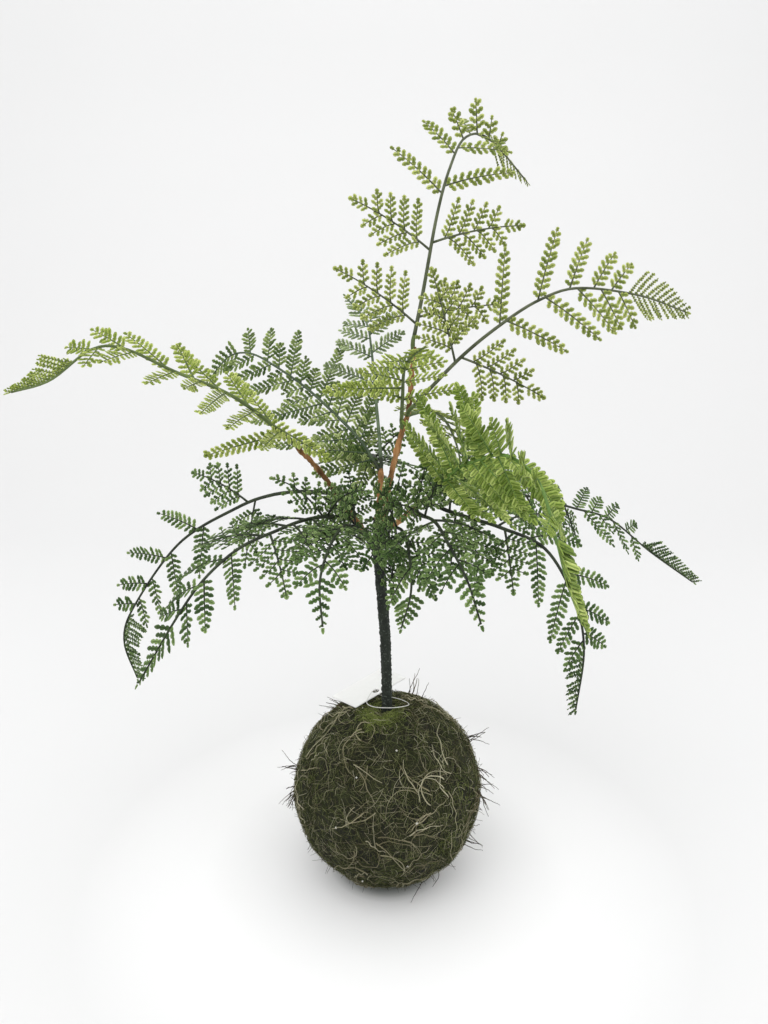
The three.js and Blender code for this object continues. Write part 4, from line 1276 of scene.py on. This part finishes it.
def specks():
    """Small pale grains caught in the mat."""
    rng = np.random.default_rng(23)
    points, triangles = [], []
    base = np.array([(1, 0, 0), (-1, 0, 0), (0, 1, 0), (0, -1, 0), (0, 0, 1), (0, 0, -1)], float)
    sides = [(0, 2, 4), (2, 1, 4), (1, 3, 4), (3, 0, 4), (2, 0, 5), (1, 2, 5), (3, 1, 5), (0, 3, 5)]
    fixed = [(0.09, -0.59, 0.8), (0.28, -0.93, 0.23), (0.2, -0.94, -0.28), (-0.3, -0.74, 0.6)]
    n = np.vstack([unit(fixed), anywhere(rng, 10)])
    for k, centre in enumerate(on_ball(n, 0.7)):
        size = rng.uniform(0.4, 0.75) * np.array([1, 0.8, rng.uniform(1.0, 1.8)])
        size = size * (1.4 if k < len(fixed) else 1)
        points.append(centre + base * size * rng.uniform(0.85, 1.15, (6, 1)))
        triangles += [tuple(6 * k + v for v in side) for side in sides]
    piece = Piece()
    piece.add(np.concatenate(points), [np.array(triangles)])
    piece.make("moss_specks", [SPECK], "moss")


moss_ground()
fibres("moss_fibres_dark", "dark", 11, 5600, (5, 15), (0.11, 0.2), 5, 0.2, -0.9, 0.6)
fibres("moss_fibres_olive", "olive", 12, 6800, (4, 12), (0.08, 0.15), 5, 0.24, -0.5, 1.1)
fibres("moss_tufts_top", "green", 13, 900, (2, 5), (0.1, 0.18), 4, 0.3, -0.2, 1.2, near_top)
fibres("moss_tufts_patches", "green", 14, 500, (2, 5), (0.08, 0.15), 4, 0.3, -0.4, 0.7, in_patches)
fibres("moss_roots_fine", "root", 15, 1300, (5, 17), (0.09, 0.17), 7, 0.2, -0.1, 1.4)
root_clusters()
stray_fibres()
short_ends()
specks()


# The tag and its loop.

LOOP_STEPS = 120
LOOP_SIDES = 10


def loop_ring():
    """The loop as a smooth closed ring round the stem and through the card's hole."""
    x, y, z = card_sides()
    hole = np.array(CARD_CORNER) + CARD_HOLE[0] * x + CARD_HOLE[1] * y + CARD_SIZE[2] / 2 * z
    route = [*LOOP_FRONT, hole + LOOP_BELOW, hole, hole + LOOP_ABOVE, LOOP_BACK]
    u = np.arange(LOOP_STEPS) / LOOP_STEPS
    path = Curve(route, is_closed=True).at(u)
    tangents = unit(np.roll(path, -1, 0) - np.roll(path, 1, 0))
    normals = [unit(np.cross(tangents[0], (0.3, 0.2, 1)))]
    for t in tangents[1:]:
        normals.append(unit(normals[-1] - (normals[-1] @ t) * t))
    normals = np.array(normals)
    twist = math.atan2(np.cross(normals[-1], normals[0]) @ tangents[0], normals[-1] @ normals[0])
    turn = (twist * u)[:, None]
    first = np.cos(turn) * normals + np.sin(turn) * np.cross(tangents, normals)
    second = np.cross(tangents, first)
    angles = 2 * np.pi * np.arange(LOOP_SIDES) / LOOP_SIDES
    ring = np.cos(angles)[:, None] * first[:, None] + np.sin(angles)[:, None] * second[:, None]
    points = (path[:, None] + CORD_R * ring).reshape(-1, 3)
    quads = grid(LOOP_STEPS + 1, LOOP_SIDES)[:, [0, 3, 2, 1]] % len(points)
    piece = Piece()
    piece.add(points, [quads])
    piece.make("tag_loop_cord", [NYLON], "nylon", "tag_loop")


def dress_node(node, material):
    """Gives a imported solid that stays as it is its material."""
    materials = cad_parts[node].data.materials
    materials.clear()
    materials.append(material)


loop_ring()
dress_node("hang_tag", CARD)
dress_node("foam_core", FOAM)


# The stage.

SWEEP_FRONT = -2.2
SWEEP_BACK = 1.6
SWEEP_RADIUS = 0.9
SWEEP_HEIGHT = 2.6
SWEEP_HALF = 3.0
SWEEP_STEPS = 16


def sweep_material(name):
    """White paper with painted shade: a painted contact shadow round the ball's foot, and darker farther
    out.
    """
    s = Shader(name, 0.9)
    split = s.node("SeparateXYZ", Vector=s.place)
    tone = s.ramp(split.outputs["Z"], (0.0, (0.92, 0.921, 0.922)), (0.7, (0.965, 0.966, 0.967)))
    grain = s.ramp(s.noise(1.5), (0.3, (0.985, 0.985, 0.985)), (0.7, (1, 1, 1)))
    distance = s.node("VectorMath", {"operation": "LENGTH"}, Vector=s.place)
    # Painted contact shadow close round the ball's foot, and painted shade that darkens the floor farther
    # out.
    painted_floor_shade = s.ramp(
        distance.outputs["Value"],
        (0.029, (0.35, 0.37, 0.35)), (0.037, (1, 1, 1)), (0.12, (1, 1, 1)), (0.2, (0.85, 0.85, 0.85)),
    )
    return s.finish(s.mix(s.mix(tone, painted_floor_shade), grain))


def sweep():
    """A pale floor that curves up into a backdrop."""
    flat = SWEEP_BACK - SWEEP_RADIUS
    profile = [(SWEEP_FRONT, 0.0), (flat, 0.0)]
    for k in range(1, SWEEP_STEPS + 1):
        a = math.pi / 2 * k / SWEEP_STEPS
        profile.append((flat + SWEEP_RADIUS * math.sin(a), SWEEP_RADIUS - SWEEP_RADIUS * math.cos(a)))
    profile.append((SWEEP_BACK, SWEEP_HEIGHT))
    mesh = bpy.data.meshes.new("sweep")
    points = [(x, y, z) for y, z in profile for x in (-SWEEP_HALF, SWEEP_HALF)]
    faces = [(2 * i, 2 * i + 1, 2 * i + 3, 2 * i + 2) for i in range(len(profile) - 1)]
    mesh.from_pydata(points, [], faces)
    mesh.polygons.foreach_set("use_smooth", [True] * len(faces))
    mesh.materials.append(sweep_material("sweep_paper"))
    obj = linked("sweep", mesh)


def soft_light(name, location, target, size, power):
    data = bpy.data.lights.new(name, "AREA")
    data.shape = "SQUARE"
    data.size = size
    data.energy = power
    obj = linked(name, data)
    obj.location = location
    obj.rotation_euler = (Vector(target) - Vector(location)).to_track_quat("-Z", "Y").to_euler()


sweep()
soft_light("key", (-0.7, -0.9, 1.7), (0, 0, 0.22), 1.8, 15)
soft_light("top", (0.2, 0.2, 2.0), (0, 0, 0.2), 2.4, 7)
soft_light("fill", (1.3, -0.8, 1.0), (0, 0, 0.2), 1.6, 6)

bpy.context.scene.view_settings.view_transform = "Standard"
world = bpy.data.worlds.new("studio")
world.use_nodes = True
background = world.node_tree.nodes["Background"]
background.inputs["Color"].default_value = (1, 1, 1, 1)
background.inputs["Strength"].default_value = 0.84
bpy.context.scene.world = world

CAMERA_DOWN = 16
camera_data = bpy.data.cameras.new("camera")
camera_data.sensor_width = 36
camera_data.lens = 28.125
camera = linked("camera", camera_data)
camera.location = (-0.002, -0.4548, 0.3748)
camera.rotation_euler = (math.radians(90 - CAMERA_DOWN), 0, 0)
bpy.context.scene.camera = camera
